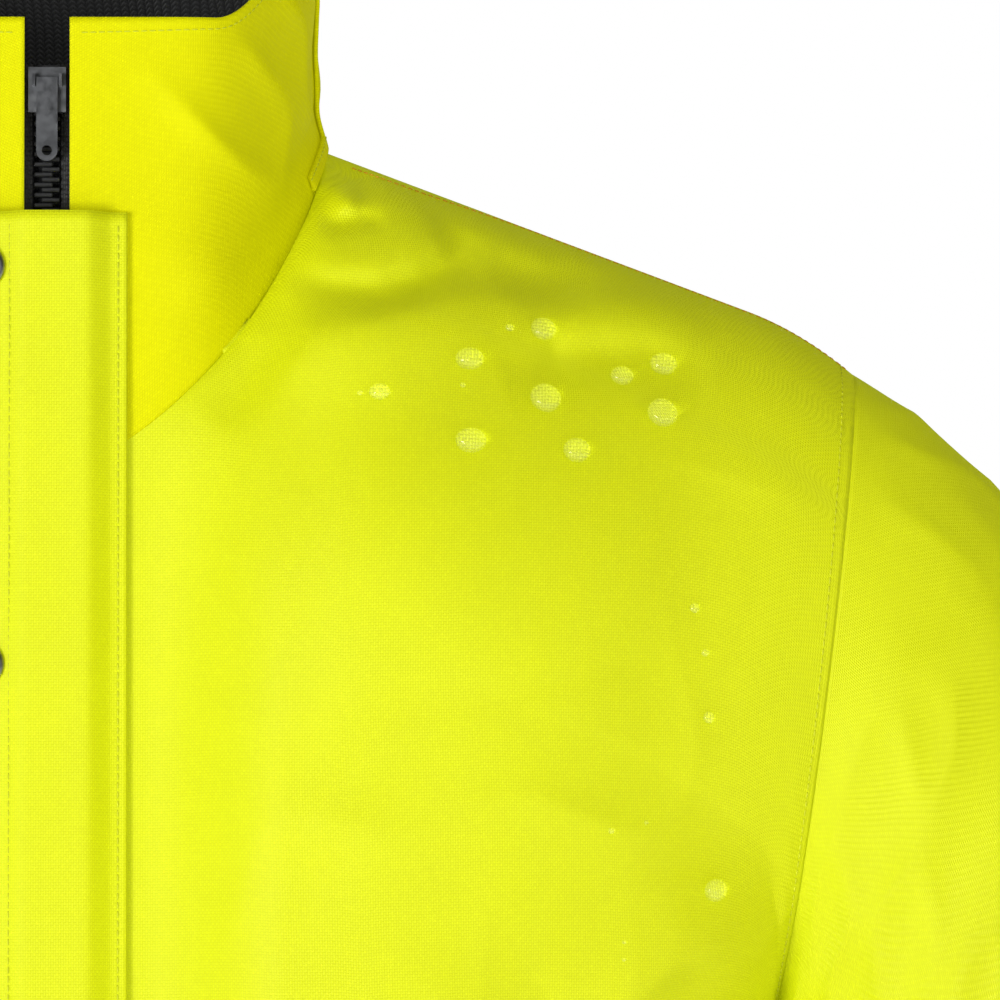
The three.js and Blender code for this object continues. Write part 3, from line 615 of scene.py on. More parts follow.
def add_node(tree, kind, settings=None, **inputs):
    node = tree.nodes.new(kind)
    for key, value in (settings or {}).items():
        setattr(node, key, value)
    for key, value in inputs.items():
        feed(tree, node.inputs[key.replace("_", " ")], value)
    return node


def sum_node(tree, operation, *values):
    node = tree.nodes.new("ShaderNodeMath")
    node.operation = operation
    for socket, value in zip(node.inputs, values):
        feed(tree, socket, value)
    return node.outputs[0]


def calculator(tree):
    """A short way to add math nodes to one tree."""
    return lambda operation, *values: sum_node(tree, operation, *values)


def blend_colours(tree, factor, low, high):
    node = tree.nodes.new("ShaderNodeMix")
    node.data_type = "RGBA"
    for socket, value in zip((node.inputs[0], node.inputs[6], node.inputs[7]), (factor, low, high)):
        feed(tree, socket, value)
    return node.outputs[2]


def new_group(name, inputs, outputs):
    tree = bpy.data.node_groups.new(name, "ShaderNodeTree")
    for label, (kind, value) in inputs.items():
        socket = tree.interface.new_socket(label, in_out="INPUT", socket_type=kind)
        if value is not None:
            socket.default_value = value
    for label in outputs:
        tree.interface.new_socket(label, in_out="OUTPUT", socket_type="NodeSocketFloat")
    return tree, tree.nodes.new("NodeGroupInput"), tree.nodes.new("NodeGroupOutput")


def use_group(tree, group, **inputs):
    node = tree.nodes.new("ShaderNodeGroup")
    node.node_tree = group
    for key, value in inputs.items():
        feed(tree, node.inputs[key.replace("_", " ")], value)
    return node


# %% [markdown]
# The shell is a plain weave: each yarn passes over one and under the next, so the crowns make a fine
# checker. The group takes a place along the cloth in metres and two yarn pitches. It gives a height, which
# drives the bump and the painted shade in the hollows between the yarns, a random value for each crossing,
# and which yarn is on top.

# %% Plain weave group
def make_weave_group():
    inputs = {
        "Place": ("NodeSocketVector", None),
        "Across": ("NodeSocketFloat", 0.0008),
        "Along": ("NodeSocketFloat", 0.0009),
    }
    tree, start, end = new_group("plain_weave", inputs, ("Height", "Fleck", "Top"))
    calc = calculator(tree)
    place = add_node(tree, "ShaderNodeSeparateXYZ", Vector=start.outputs["Place"])
    x = calc("DIVIDE", place.outputs[0], start.outputs["Across"])
    y = calc("DIVIDE", place.outputs[1], start.outputs["Along"])
    fx, fy = calc("FLOOR", x), calc("FLOOR", y)
    crown_x = calc("SINE", calc("MULTIPLY", calc("FRACT", x), math.pi))
    crown_y = calc("SINE", calc("MULTIPLY", calc("FRACT", y), math.pi))
    top = calc("FLOORED_MODULO", calc("ADD", fx, fy), 2.0)
    warp = calc("MULTIPLY", crown_x, calc("MULTIPLY_ADD", crown_y, 0.35, 0.65))
    weft = calc("MULTIPLY", crown_y, calc("MULTIPLY_ADD", crown_x, 0.35, 0.65))
    rise = calc("MULTIPLY", calc("SUBTRACT", warp, weft), top)
    cell = add_node(tree, "ShaderNodeCombineXYZ", X=fx, Y=fy)
    fleck = add_node(tree, "ShaderNodeTexWhiteNoise", {"noise_dimensions": "2D"}, Vector=cell.outputs[0])
    tree.links.new(calc("ADD", weft, rise), end.inputs["Height"])
    tree.links.new(fleck.outputs["Value"], end.inputs["Fleck"])
    tree.links.new(top, end.inputs["Top"])
    return tree


WEAVE = make_weave_group()
print("node group", WEAVE.name, "has", len(WEAVE.nodes), "nodes")

# %% [markdown]
# ## Cloth finishes
# One function makes every woven finish. The colour shifts a little with the yarn on top, with a random
# fleck at each crossing and with slow blotches. The weave's height drives the bump, and it also paints the
# colour darker in the hollows between the yarns, which is painted shade.

# %% Woven finishes
def new_finish(name, **sockets):
    made = bpy.data.materials.new(name)
    made.use_nodes = True
    tree = made.node_tree
    shader = tree.nodes["Principled BSDF"]
    for key, value in sockets.items():
        shader.inputs[key.replace("_", " ")].default_value = value
    return made, tree, shader


def bump(tree, shader, height, distance, strength=1.0):
    node = add_node(tree, "ShaderNodeBump", Height=height, Distance=distance, Strength=strength)
    tree.links.new(node.outputs[0], shader.inputs["Normal"])


def woven(name, dark, light, pitch, depth, rough, fleck=0.35, blotch=0.3, **sockets):
    made, tree, shader = new_finish(name, **sockets)
    calc = calculator(tree)
    place = tree.nodes.new("ShaderNodeUVMap")
    place.uv_map = "weave"
    weave = use_group(tree, WEAVE, Place=place.outputs[0], Across=pitch[0] * MM, Along=pitch[1] * MM)
    slow = add_node(tree, "ShaderNodeTexNoise", Vector=place.outputs[0], Scale=38.0, Detail=3.0,
                    Roughness=0.55)
    # Painted shade: the colour is darker where the weave's height is low, in the hollows between the yarns.
    crown = calc("MULTIPLY", weave.outputs["Height"], 0.5)
    fleck_and_hollow_shade = calc("MULTIPLY_ADD", calc("POWER", weave.outputs["Fleck"], 3.0), fleck, crown)
    tops = calc("MULTIPLY_ADD", weave.outputs["Top"], 0.12, fleck_and_hollow_shade)
    share = calc("MULTIPLY_ADD", calc("SUBTRACT", slow.outputs["Fac"], 0.5), blotch, tops)
    colour = blend_colours(tree, share, (*dark, 1), (*light, 1))
    tree.links.new(colour, shader.inputs["Base Color"])
    low, high = rough
    tree.links.new(calc("MULTIPLY_ADD", slow.outputs["Fac"], high - low, low), shader.inputs["Roughness"])
    bump(tree, shader, weave.outputs["Height"], depth * MM)
    return made


# Painted light: the emission on the shell and collar finishes is a painted glow that lifts their shaded
# cloth; it stands in for the fluorescence of the high-visibility dye.
SHELL = woven("yellow_shell", (0.62, 0.67, 0.001), (0.80, 0.865, 0.003), (0.82, 0.92), 0.10,
              (0.48, 0.62), 0.16,
              Emission_Color=(0.6, 0.65, 0.0, 1), Emission_Strength=0.12, Specular_IOR_Level=0.34)
COLLAR_SHELL = woven("yellow_collar", (0.64, 0.635, 0.0003), (0.84, 0.835, 0.0006), (0.82, 0.92), 0.09,
                     (0.6, 0.75), 0.16,
                     Emission_Color=(0.6, 0.59, 0.0, 1), Emission_Strength=0.12, Specular_IOR_Level=0.1)
LINING = woven("dark_lining", (0.010, 0.011, 0.012), (0.045, 0.046, 0.048), (1.1, 1.3), 0.22,
               (0.6, 0.8), 0.2, 0.2)
WEBBING = woven("black_webbing", (0.012, 0.012, 0.013), (0.05, 0.05, 0.052), (0.9, 1.6), 0.3,
                (0.55, 0.75), 0.3, 0.1)

# %% [markdown]
# The inside of the collar is a rib knit: columns of loops with a furrow between them, painted darker in the
# furrows and between the loops as painted shade. The reflective tape is a coat of glass beads, which
# glitters a little and carries a fine crossed emboss.

# %% Knit and reflective tape
KNIT_COLUMN = 0.0032
KNIT_COURSE = 0.0017


def knitted():
    made, tree, shader = new_finish("rib_knit", Sheen_Weight=0.35)
    calc = calculator(tree)
    place = tree.nodes.new("ShaderNodeUVMap")
    place.uv_map = "weave"
    part = add_node(tree, "ShaderNodeSeparateXYZ", Vector=place.outputs[0])
    column = calc("FRACT", calc("DIVIDE", part.outputs[0], KNIT_COLUMN))
    crown = calc("SINE", calc("MULTIPLY", column, math.pi))
    course = calc("DIVIDE", part.outputs[1], KNIT_COURSE)
    slant = calc("MULTIPLY_ADD", calc("ABSOLUTE", calc("SUBTRACT", column, 0.5)), 1.4, course)
    loops = calc("MULTIPLY_ADD", calc("SINE", calc("MULTIPLY", slant, 2 * math.pi)), 0.3, 0.7)
    height = calc("MULTIPLY", calc("POWER", crown, 0.7), loops)
    # Painted shade: the knit is darker where its height is low, in the furrows and between the loops.
    colour = blend_colours(tree, height, (0.008, 0.0085, 0.009, 1), (0.042, 0.043, 0.044, 1))
    tree.links.new(colour, shader.inputs["Base Color"])
    tree.links.new(calc("MULTIPLY_ADD", crown, 0.1, 0.8), shader.inputs["Roughness"])
    bump(tree, shader, height, 0.9 * MM)
    return made


def reflective():
    made, tree, shader = new_finish("beaded_tape", Specular_IOR_Level=0.6)
    calc = calculator(tree)
    place = tree.nodes.new("ShaderNodeUVMap")
    place.uv_map = "weave"
    beads = add_node(tree, "ShaderNodeTexVoronoi", Vector=place.outputs[0], Scale=2600.0)
    slow = add_node(tree, "ShaderNodeTexNoise", Vector=place.outputs[0], Scale=45.0, Detail=4.0)
    weave = use_group(tree, WEAVE, Place=place.outputs[0], Across=0.0011, Along=0.0011)
    patches = calc("MULTIPLY_ADD", slow.outputs["Fac"], 0.5, 0.55)
    share = calc("MULTIPLY_ADD", beads.outputs["Distance"], -0.5, patches)
    colour = blend_colours(tree, share, (0.26, 0.27, 0.28, 1), (0.66, 0.67, 0.68, 1))
    tree.links.new(colour, shader.inputs["Base Color"])
    tree.links.new(calc("MULTIPLY_ADD", slow.outputs["Fac"], 0.25, 0.3), shader.inputs["Roughness"])
    tree.links.new(calc("MULTIPLY_ADD", beads.outputs["Distance"], 0.4, 0.25), shader.inputs["Metallic"])
    height = calc("MULTIPLY_ADD", beads.outputs["Distance"], 0.5, weave.outputs["Height"])
    bump(tree, shader, height, 0.12 * MM)
    return made


KNIT = knitted()
TAPE = reflective()

# %% [markdown]
# Hard trims are moulded plastic or plated metal. Both read object coordinates: a fine grain in the plastic,
# and scuffs that change the metal's roughness. Thread is a soft coloured yarn. The amber thread on the
# shoulder seams is stitching and painted shadow: its orange line stands for the shade in the lapped seam.

# %% Trims and thread
def trim(name, dark, light, grain, rough, depth, **sockets):
    made, tree, shader = new_finish(name, **sockets)
    place = tree.nodes.new("ShaderNodeTexCoord")
    noise = add_node(tree, "ShaderNodeTexNoise", Vector=place.outputs["Object"], Scale=grain, Detail=4.0)
    colour = blend_colours(tree, noise.outputs["Fac"], (*dark, 1), (*light, 1))
    tree.links.new(colour, shader.inputs["Base Color"])
    low, high = rough
    tree.links.new(sum_node(tree, "MULTIPLY_ADD", noise.outputs["Fac"], high - low, low),
                   shader.inputs["Roughness"])
    bump(tree, shader, noise.outputs["Fac"], depth * MM)
    return made


PLASTIC = trim("moulded_plastic", (0.012, 0.012, 0.013), (0.035, 0.036, 0.038), 900.0, (0.3, 0.5), 0.03)
METAL = trim("plated_metal", (0.24, 0.25, 0.26), (0.42, 0.43, 0.45), 350.0, (0.22, 0.5), 0.01, Metallic=1.0)
# Painted shadow: this amber thread stands for the shoulder seam's shadow line as well as its stitching.
SEAM_SHADOW_THREAD = trim("amber_thread_and_seam_shadow", (0.55, 0.27, 0.010), (0.80, 0.46, 0.02), 1800.0, (0.6, 0.8), 0.05)
YELLOW_THREAD = trim("yellow_thread", (0.52, 0.56, 0.006), (0.78, 0.82, 0.03), 1800.0, (0.55, 0.75), 0.05)


# A cut shape fills at least this share of the rectangle round it.
LEAST_CUT = 0.31


def finish(piece, material, *replaced, body="torso"):
    """Gives a piece its finish and body, and hides the CAD nodes that it stands for."""
    piece.data.materials.clear()
    piece.data.materials.append(material)
    if replaced:
        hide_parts(*replaced)
    if body:
        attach(piece, body)
    return piece


def dress(piece, material, *replaced, body="torso", held="hung"):
    """Finishes a piece of cloth and prints the size that it was cut to."""
    finish(piece, material, *replaced, body=body)
    width, length = piece["cut"]
    area = sum(face.area for face in piece.data.polygons)
    length = max(length, area / width)
    area = max(area, LEAST_CUT * width * length)
    print(f"{piece.name}: cut {width:.3f} by {length:.3f} m, {area:.3f} m2")


# %% [markdown]
# ## The body
# Two fronts and a back make the shell, each a sheet over its shape with a thin wall. The lining is a second
# set of sheets inside. Each mirrors to the other side by flipping x and turning its faces round.

# %% Shell panels and lining
SHELL_WALL = 1.3
LINING_WALL = 1.0
LINING_LIFT = -4.6
TAPE_WALL = 0.4
TAPE_LIFT = 0.6
SLEEVE_TAPE_LIFT = 0.5
SIDES = (("left", False), ("right", True))
for side, mirror in SIDES:
    front = cloth(f"front_{side}_cloth", "front", (0, 1), (0, 1), (150, 310), SHELL_WALL, mirror=mirror)
    dress(front, SHELL, f"front_panel_{side}")
    inside = cloth(f"front_{side}_lining_cloth", "front", (0.08, 0.92), (0.05, 0.96), (50, 90), LINING_WALL,
                   LINING_LIFT, mirror)
    dress(inside, LINING, f"lining_front_{side}")

back = cloth("back_cloth", "back", (0, 1), (0, 1), (200, 200), SHELL_WALL)
dress(back, SHELL, "back_panel")
inside = cloth("back_lining_cloth", "back", (0.04, 0.96), (0.05, 0.96), (90, 90), LINING_WALL,
               LINING_LIFT)
dress(inside, LINING, "lining_back")

# %% [markdown]
# ## The collar
# A tall collar stands up all round. Its outside is shell cloth, its inside a smooth band above a rib knit,
# and a rolled hood sits between them at the back, behind a pouch flap whose foot is sewn into the neck
# seam.

# %% Collar
collar = cloth("collar_cloth", "collar", (0, 1), (0, 1), (260, 60), 1.4)
dress(collar, COLLAR_SHELL, "collar_outer")


def hood_room(u, v):
    across = 1 - np.abs(1 - 2 * u)
    return 23.5 * smooth(across, 0.5, 0.8) * (1 - smooth(v, 0.72, 1))


facing = cloth("collar_facing", "collar", (0.012, 0.988), (0.84, 0.995), (200, 10), 1.0, -1.8)
dress(facing, LINING)
KNIT_TOP = 0.86
knit = cloth("collar_knit", "collar", (0.05, 0.95), (0, KNIT_TOP), (200, 30), 2.0,
             lambda u, v: -3.5 - hood_room(u, KNIT_TOP * v))
dress(knit, KNIT, "collar_lining")


def hood_roll(u, v):
    across = 1 - np.abs(1 - 2 * u)
    depth = 9 * smooth(across, 0.5, 0.8) + 1.2
    return -3.2 - depth * (0.62 + 0.38 * np.sin(u * 95 + 3 * np.sin(v * 9)) * np.sin(v * math.pi))


hood = cloth("hood_cloth", "collar", (0.35, 0.65), (0.14, 0.72), (120, 30), 1.0, hood_roll)
dress(hood, COLLAR_SHELL, "stowed_hood", held="folded")


def pouch_cut(u):
    """The flap is full height round the back and only a narrow foot where it runs out at each side."""
    across = 0.5 - np.abs(u - 0.5)
    foot = mix(0.035, 0.012, smooth(across, 0.2, 0.25))
    return foot, mix(foot + 0.05, 0.88, smooth(across, 0.246, 0.275))


pouch = cloth("pouch_flap_cloth", "collar", (0.205, 0.795), pouch_cut, (240, 40), 1.3, 1.9)
dress(pouch, COLLAR_SHELL, "hood_pouch_flap")

# %% [markdown]
# ## Sleeves
# Each sleeve is two tubes that meet under the reflective band, and a gusset lies inside the armpit.

# %% Sleeve tubes
ARM_SHARE = (1 - HEAD_SHARE) / ARM_LENGTH
ARM_BAND = (HEAD_SHARE + 14 * ARM_SHARE, HEAD_SHARE + 64 * ARM_SHARE)
MEET = HEAD_SHARE + 40 * ARM_SHARE
ELBOW_V = HEAD_SHARE + (1 - HEAD_SHARE) * ELBOW_AT
FOREARM_BAND = (ELBOW_V + 82 * ARM_SHARE, ELBOW_V + 132 * ARM_SHARE)
TAB_V = (1 - 42 * ARM_SHARE, 1 - 10 * ARM_SHARE)


def bend_shoulder(piece):
    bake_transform(piece)


def bend_elbow(piece):
    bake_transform(piece)


for side, mirror in SIDES:
    upper = cloth(f"upper_sleeve_{side}_cloth", "sleeve", (0, 1), (0, MEET), (150, 130), SHELL_WALL,
                  mirror=mirror)
    dress(upper, SHELL, f"sleeve_head_{side}", f"sleeve_upper_{side}", body=None)
    bend_shoulder(upper)
    gusset = cloth(f"underarm_gusset_{side}_cloth", "sleeve", (0.2, 0.8), (0.004, MEET), (90, 90), 1.0,
                   -2.6, mirror)
    dress(gusset, SHELL, body=None, held="folded")
    bend_shoulder(gusset)
    lower = cloth(f"lower_sleeve_{side}_cloth", "sleeve", (0, 1), (MEET + ARM_SHARE, 0.999), (130, 170),
                  SHELL_WALL, mirror=mirror)
    dress(lower, SHELL, f"sleeve_elbow_{side}", f"sleeve_forearm_{side}", body=None)
    bend_elbow(lower)
    band = cloth(f"arm_band_{side}_tape", "sleeve", (0, 1), ARM_BAND, (130, 14), TAPE_WALL, SLEEVE_TAPE_LIFT,
                 mirror)
    dress(band, TAPE, f"arm_band_{side}", body=f"upper_arm_{side}")
    low_band = cloth(f"forearm_band_{side}_tape", "sleeve", (0, 1), FOREARM_BAND, (130, 14), TAPE_WALL,
                     SLEEVE_TAPE_LIFT, mirror)
    dress(low_band, TAPE, body=f"forearm_{side}")
    cuff = cloth(f"inner_cuff_{side}_knit", "sleeve", (0, 1), (0.9, 0.985), (120, 24), 2.0,
                 lambda u, v: -4 - 9 * smooth(v, 0, 1), mirror)
    dress(cuff, KNIT, f"inner_cuff_{side}", body=f"forearm_{side}")
    tab = cloth(f"cuff_tab_{side}_cloth", "sleeve", (0.05, 0.3), TAB_V, (50, 16), 2.2, 2.8, mirror)
    dress(tab, SHELL, f"cuff_tab_{side}", body=f"cuff_tab_{side}")

# %% [markdown]
# ## Reflective bands and pockets
# Two hoops of silver tape go round the body. They lie on the same sheets as the cloth, found by height, so
# they follow every buckle under them. The patch pockets belly out from the front and close with a flap.

# %% Bands
BAND_WIDTH = 50.0
BAND_TOPS = {"upper": -352.0, "lower": -446.0}
for level, top in BAND_TOPS.items():
    for side, mirror in SIDES:
        band = cloth(f"band_{level}_{side}_tape", "front", (0.05, 1), None, (90, 12), TAPE_WALL,
                     TAPE_LIFT, mirror, (top - BAND_WIDTH, top))
        dress(band, TAPE, f"band_{level}_front_{side}")
    band = cloth(f"band_{level}_back_tape", "back", (0, 1), None, (170, 12), TAPE_WALL, TAPE_LIFT,
                 heights=(top - BAND_WIDTH, top))
    dress(band, TAPE, f"band_{level}_back")

# %% Pockets
half_u = np.concatenate([np.linspace(0, NECK_SHARE, 6), np.linspace(NECK_SHARE, 1, 8)[1:]])
POCKET_U = (half_u[2], half_u[8])
POCKET_Z = (-704.0, -520.0)
POCKET_BULGE = 12.0


def arch(share):
    share = np.clip(share, 0, 1)
    return np.sqrt(4 * share * (1 - share))


def pocket_lift(u, v):
    share = (u - POCKET_U[0]) / (POCKET_U[1] - POCKET_U[0])
    corner = smooth(arch(share), 0, 0.35) * smooth(v, 0, 0.08)
    return 0.5 + 3.0 * corner + POCKET_BULGE * arch(share) * smooth(v, -0.4, 0.9)


FLAP_Z = (-564.0, -500.0)
FLAP_U = (POCKET_U[0] - 0.012, POCKET_U[1] + 0.012)


def flap_lift(u, v):
    share = (u - POCKET_U[0]) / (POCKET_U[1] - POCKET_U[0])
    fall = 1 - smooth(v, 0.72, 1.0)
    return 3.8 + (4.0 + POCKET_BULGE * arch(share)) * fall


for side, mirror in SIDES:
    pocket = cloth(f"pocket_{side}_cloth", "front", POCKET_U, None, (80, 80), 1.4, pocket_lift, mirror,
                   POCKET_Z)
    dress(pocket, SHELL, f"pocket_{side}")
    flap = cloth(f"pocket_flap_{side}_cloth", "front", FLAP_U, None, (80, 34), 2.4, flap_lift, mirror,
                 FLAP_Z)
    dress(flap, SHELL, f"pocket_flap_{side}", body=f"pocket_flap_{side}")

# %% [markdown]
# ## Zip and storm flap
# These lie in a flat frame of their own: x across, y up the zip line and h out of the front. The flap is
# sewn on the wearer's left, steps over the slider and closes with snaps on the right.

# %% Front frame
LINE_LENGTH = math.hypot(1, LEAN)
LINE_UP = np.array([0, LEAN, 1]) / LINE_LENGTH
LINE_OUT = np.array([0, -1, LEAN]) / LINE_LENGTH


def on_line(x, y, h):
    x, y, h = np.broadcast_arrays(np.asarray(x, float), y, h)
    p = np.array([0.0, LINE_TOP_Y, LINE_TOP_Z]) + y[..., None] * LINE_UP + h[..., None] * LINE_OUT
    p[..., 0] = x
    return placed(p)


def up_line(z):
    return (z - LINE_TOP_Z) * LINE_LENGTH


ZIP_TOP = -8.0
ZIP_FOOT = up_line(-BODY_LENGTH) + 6
FLAP_HINGE = 26.5
FLAP_FREE = -29.5
FLAP_UNDER = np.array([(FLAP_HINGE, 0.5), (21.5, 0.5), (14.2, 7.2), (-8.2, 7.2), (-13.5, 3.6),
                       (FLAP_FREE, 3.6)])
SNAP_X = -21.0
SNAPS = [up_line(-40.0 - 130.0 * i) for i in range(6)]


def strip(name, outline, low, high, rows, thickness, lift=0.0, columns=40):
    """Cloth in the front frame: an outline of (x, h) points carried from low to high."""
    run = np.concatenate([[0], np.cumsum(np.hypot(*np.diff(outline, axis=0).T))])
    soft = np.linspace(0, run[-1], columns + 1)
    x, h = np.interp(soft, run, outline[:, 0]), np.interp(soft, run, outline[:, 1])
    for _ in range(2):
        h[1:-1] = (h[:-2] + 2 * h[1:-1] + h[2:]) / 4
    y = np.linspace(low, high, rows + 1)
    a, b = np.meshgrid(soft / run[-1], y, indexing="ij")
    wave = 0.5 * np.sin(b / 17.0 + 2 * a) * np.sin(b / 41.0) * np.sin(a * math.pi)
    places = on_line(x[:, None], b, h[:, None] + lift + wave + thickness)
    weave = np.stack([-a * run[-1], b], axis=-1) * MM
    piece = grid_mesh(name, places, weave, True, False)
    piece["cut"] = [run[-1] * MM, (high - low) * MM]
    return thicken(piece, thickness)


storm = strip("storm_flap_cloth", FLAP_UNDER, up_line(-BODY_LENGTH) + 4, up_line(-22.0), 190, 2.2)
dress(storm, SHELL, "storm_flap", body="storm_flap")
for level, top in BAND_TOPS.items():
    tape = strip(f"band_{level}_flap_tape", FLAP_UNDER, up_line(top - BAND_WIDTH), up_line(top), 20,
                 TAPE_WALL, 2.5)
    dress(tape, TAPE, f"band_{level}_flap", body="storm_flap")
guard = strip("wind_guard_cloth", np.array([(20.0, -11.0), (-23.0, -11.0)]), ZIP_FOOT, ZIP_TOP, 120, 1.6)
dress(guard, LINING, "inner_storm_flap")

# %% [markdown]
# The zip has moulded teeth that interlock. One tooth is a small block with its edges rounded, and a loop
# sets it down again and again on each side, half a pitch apart.

# %% Zip teeth and tapes
TOOTH_PITCH = 3.4
ZIP_DEPTH = -5.0


def add_block(bm, low, high, rounding=0.0):
    made = bmesh.ops.create_cube(bm, size=1.0)["verts"]
    size, middle = [b - a for a, b in zip(low, high)], [(a + b) / 2 for a, b in zip(low, high)]
    bmesh.ops.scale(bm, vec=size, verts=made)
    bmesh.ops.translate(bm, vec=middle, verts=made)
    if rounding:
        edges = list({edge for vert in made for edge in vert.link_edges})
        bmesh.ops.bevel(bm, geom=edges, offset=rounding, segments=1, affect="EDGES", profile=0.5,
                        material=-1)


def set_in_line(bm, name):
    """Turns a bmesh of (x, y, h) points in the front frame into a piece."""
    for vert in bm.verts:
        vert.co = Vector(on_line(vert.co.x, vert.co.y, vert.co.z))
    bmesh.ops.recalc_face_normals(bm, faces=bm.faces)
    return add_piece(name, bm)


for side, way, shift in (("left", 1, 0.0), ("right", -1, TOOTH_PITCH / 2)):
    bm = bmesh.new()
    count = int((ZIP_TOP - ZIP_FOOT - 16) / TOOTH_PITCH)
    for i in range(count):
        y = ZIP_TOP - 1.2 - shift - i * TOOTH_PITCH
        ends = sorted((-1.8 * way, 4.2 * way))
        add_block(bm, (ends[0], y - 0.68, ZIP_DEPTH - 1.6), (ends[1], y + 0.68, ZIP_DEPTH + 1.6), 0.3)
    finish(set_in_line(bm, f"zip_teeth_{side}_row"), PLASTIC, f"zip_teeth_{side}")
    edge = np.array([(4.6, ZIP_DEPTH), (21.4, ZIP_DEPTH)])
    if way < 0:
        edge = -edge[::-1] * (1, -1)
    tape = strip(f"zip_tape_{side}_cloth", edge[::-1], ZIP_FOOT + 12.4, ZIP_TOP, 60, 0.8, -0.8, 8)
    dress(tape, WEBBING, f"zip_tape_{side}")

# %% [markdown]
# Snap caps are turned metal: a profile spun round its axis. `spin` sweeps the profile's edges through a
# full turn, and `use_merge` closes the last step onto the first.

# %% Snaps
def spun(name, profile, centre_x, centre_y, base):
    bm = bmesh.new()
    verts = [bm.verts.new((r, 0, h)) for r, h in profile]
    edges = [bm.edges.new(pair) for pair in zip(verts, verts[1:])]
    bmesh.ops.spin(bm, geom=verts + edges, cent=(0, 0, 0), axis=(0, 0, 1), angle=2 * math.pi, steps=32,
                   use_merge=True)
    bmesh.ops.remove_doubles(bm, verts=bm.verts, dist=1e-4)
    bmesh.ops.translate(bm, vec=(centre_x, centre_y, base), verts=bm.verts)
    for face in bm.faces:
        face.smooth = True
    return set_in_line(bm, name)


CAP = [(0, 0), (7.5, 0), (7.5, 0.7), (7.1, 1.3), (6.3, 1.6), (5.6, 1.35), (5.0, 1.5), (4.2, 2.1),
       (2.2, 2.4), (0, 2.4)]
STUD = [(0, 0.4), (4.5, 0.4), (4.5, 0.9), (4.0, 1.4), (2.2, 1.6), (2.0, 3.0), (1.6, 3.2), (0, 3.2)]
for i, y in enumerate(SNAPS, 1):
    finish(spun(f"snap_cap_{i}_metal", CAP, SNAP_X, y, 6.5), METAL, f"snap_cap_{i}", body="storm_flap")
    finish(spun(f"snap_stud_{i}_metal", STUD, SNAP_X, y, 0), METAL, f"snap_stud_{i}")

for name, material in (("zip_slider", METAL), ("zip_slider_back", METAL), ("zip_puller", METAL),
                       ("zip_retainer", PLASTIC), ("hanger_loop", WEBBING)):
    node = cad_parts[name]
    node.data.materials.clear()
    node.data.materials.append(material)
    rounded = node.modifiers.new("rounded edges", "BEVEL")
    rounded.width = 0.25 * MM
    rounded.segments = 2

# %% [markdown]
# ## Stitching
# A row of stitches is a chain of short threads, each a tiny stretched sphere laid along the seam. A row
# follows shares along a sheet, so it sits on the folds as the cloth does.

# %% Stitch rows
def thread_row(name, line, outs, material, pitch=3.0, radius=0.27, body="torso"):
    """Stitches along a line of places, lying on the cloth whose outward directions are given."""
    run = np.concatenate([[0], np.cumsum(np.linalg.norm(np.diff(line, axis=0), axis=1))])
    count = max(1, int(run[-1] / (pitch * MM)))
    ends = np.linspace(0, run[-1], count + 1)
    at = np.stack([np.interp(ends, run, line[:, k]) for k in range(3)], axis=1)
    out = unit(np.stack([np.interp(ends, run, outs[:, k]) for k in range(3)], axis=1))
    bm = bmesh.new()
    for a, b, n in zip(at, at[1:], out):
        way = unit(b - a)
        side = unit(np.cross(way, n))
        up = np.cross(side, way)
        length = np.linalg.norm(b - a) * 0.42
        thick = radius * MM
        middle = (a + b) / 2
        columns = np.stack([way * length, side * thick, up * thick, middle], axis=1)
        turn = Matrix([*columns.tolist(), [0, 0, 0, 1]])
        bmesh.ops.create_uvsphere(bm, u_segments=6, v_segments=4, radius=1.0, matrix=turn)
    for face in bm.faces:
        face.smooth = True
    bmesh.ops.recalc_face_normals(bm, faces=bm.faces)
    return finish(add_piece(name, bm), material, body=body)


THREAD_LIFT = 0.15


def seam_row(name, sheet, u, v, mirror=False, lift=THREAD_LIFT, material=YELLOW_THREAD, **more):
    """Stitches along shares u and v of a sheet, where either may be a single share."""
    form = SHEETS[sheet]
    u, v = np.broadcast_arrays(np.asarray(u, float), v)
    line, outs = laid(form, u, v, lift), normals(form, u, v)
    if mirror:
        line[:, 0] *= -1
        outs[:, 0] *= -1
    return thread_row(name, placed(line), outs, material, **more)


def band_rows(sheet, side, u, mirror=False):
    """Stitches just inside the top and the foot of each band on a sheet."""
    for level, top in BAND_TOPS.items():
        for edge, height in (("top", top - 2), ("foot", top - BAND_WIDTH + 2)):
            v = at_height(SHEETS[sheet], u, height)
            seam_row(f"band_{level}_{edge}_stitches_{side}", sheet, u, v, mirror, 0.75, pitch=4.0)


HEM_ROW = 0.033
# The amber row just under each shoulder seam is stitching and painted seam shadow.
for side, mirror in SIDES:
    u = np.linspace(0.385, 0.992, 300)
    drop = mix(2.6, 0.7, smooth(u, 0.38, 0.62))
    seam_x = mix(NECK_HALF, SHOULDER_REACH, (u - NECK_SHARE) / (1 - NECK_SHARE))
    v = at_height(SHEETS["front"], u, shoulder_z(seam_x) - drop)
    seam_row(f"shoulder_stitches_and_seam_shadow_{side}", "front", u, v, mirror, material=SEAM_SHADOW_THREAD, pitch=2.6,
             radius=0.3)
    seam_row(f"hem_stitches_{side}", "front", np.linspace(0.02, 0.985, 500), HEM_ROW, mirror, pitch=3.6)
    band_rows("front", side, np.linspace(0.14, 0.995, 300), mirror)
band_rows("back", "back", np.linspace(0.003, 0.997, 600))
seam_row("collar_top_stitches", "collar", np.linspace(0.01, 0.99, 900), 0.965, pitch=2.8)
u = np.linspace(0.203, 0.797, 600)
seam_row("pouch_flap_stitches", "collar", u, pouch_cut(u)[0] + 0.04, lift=2.0, pitch=2.8)
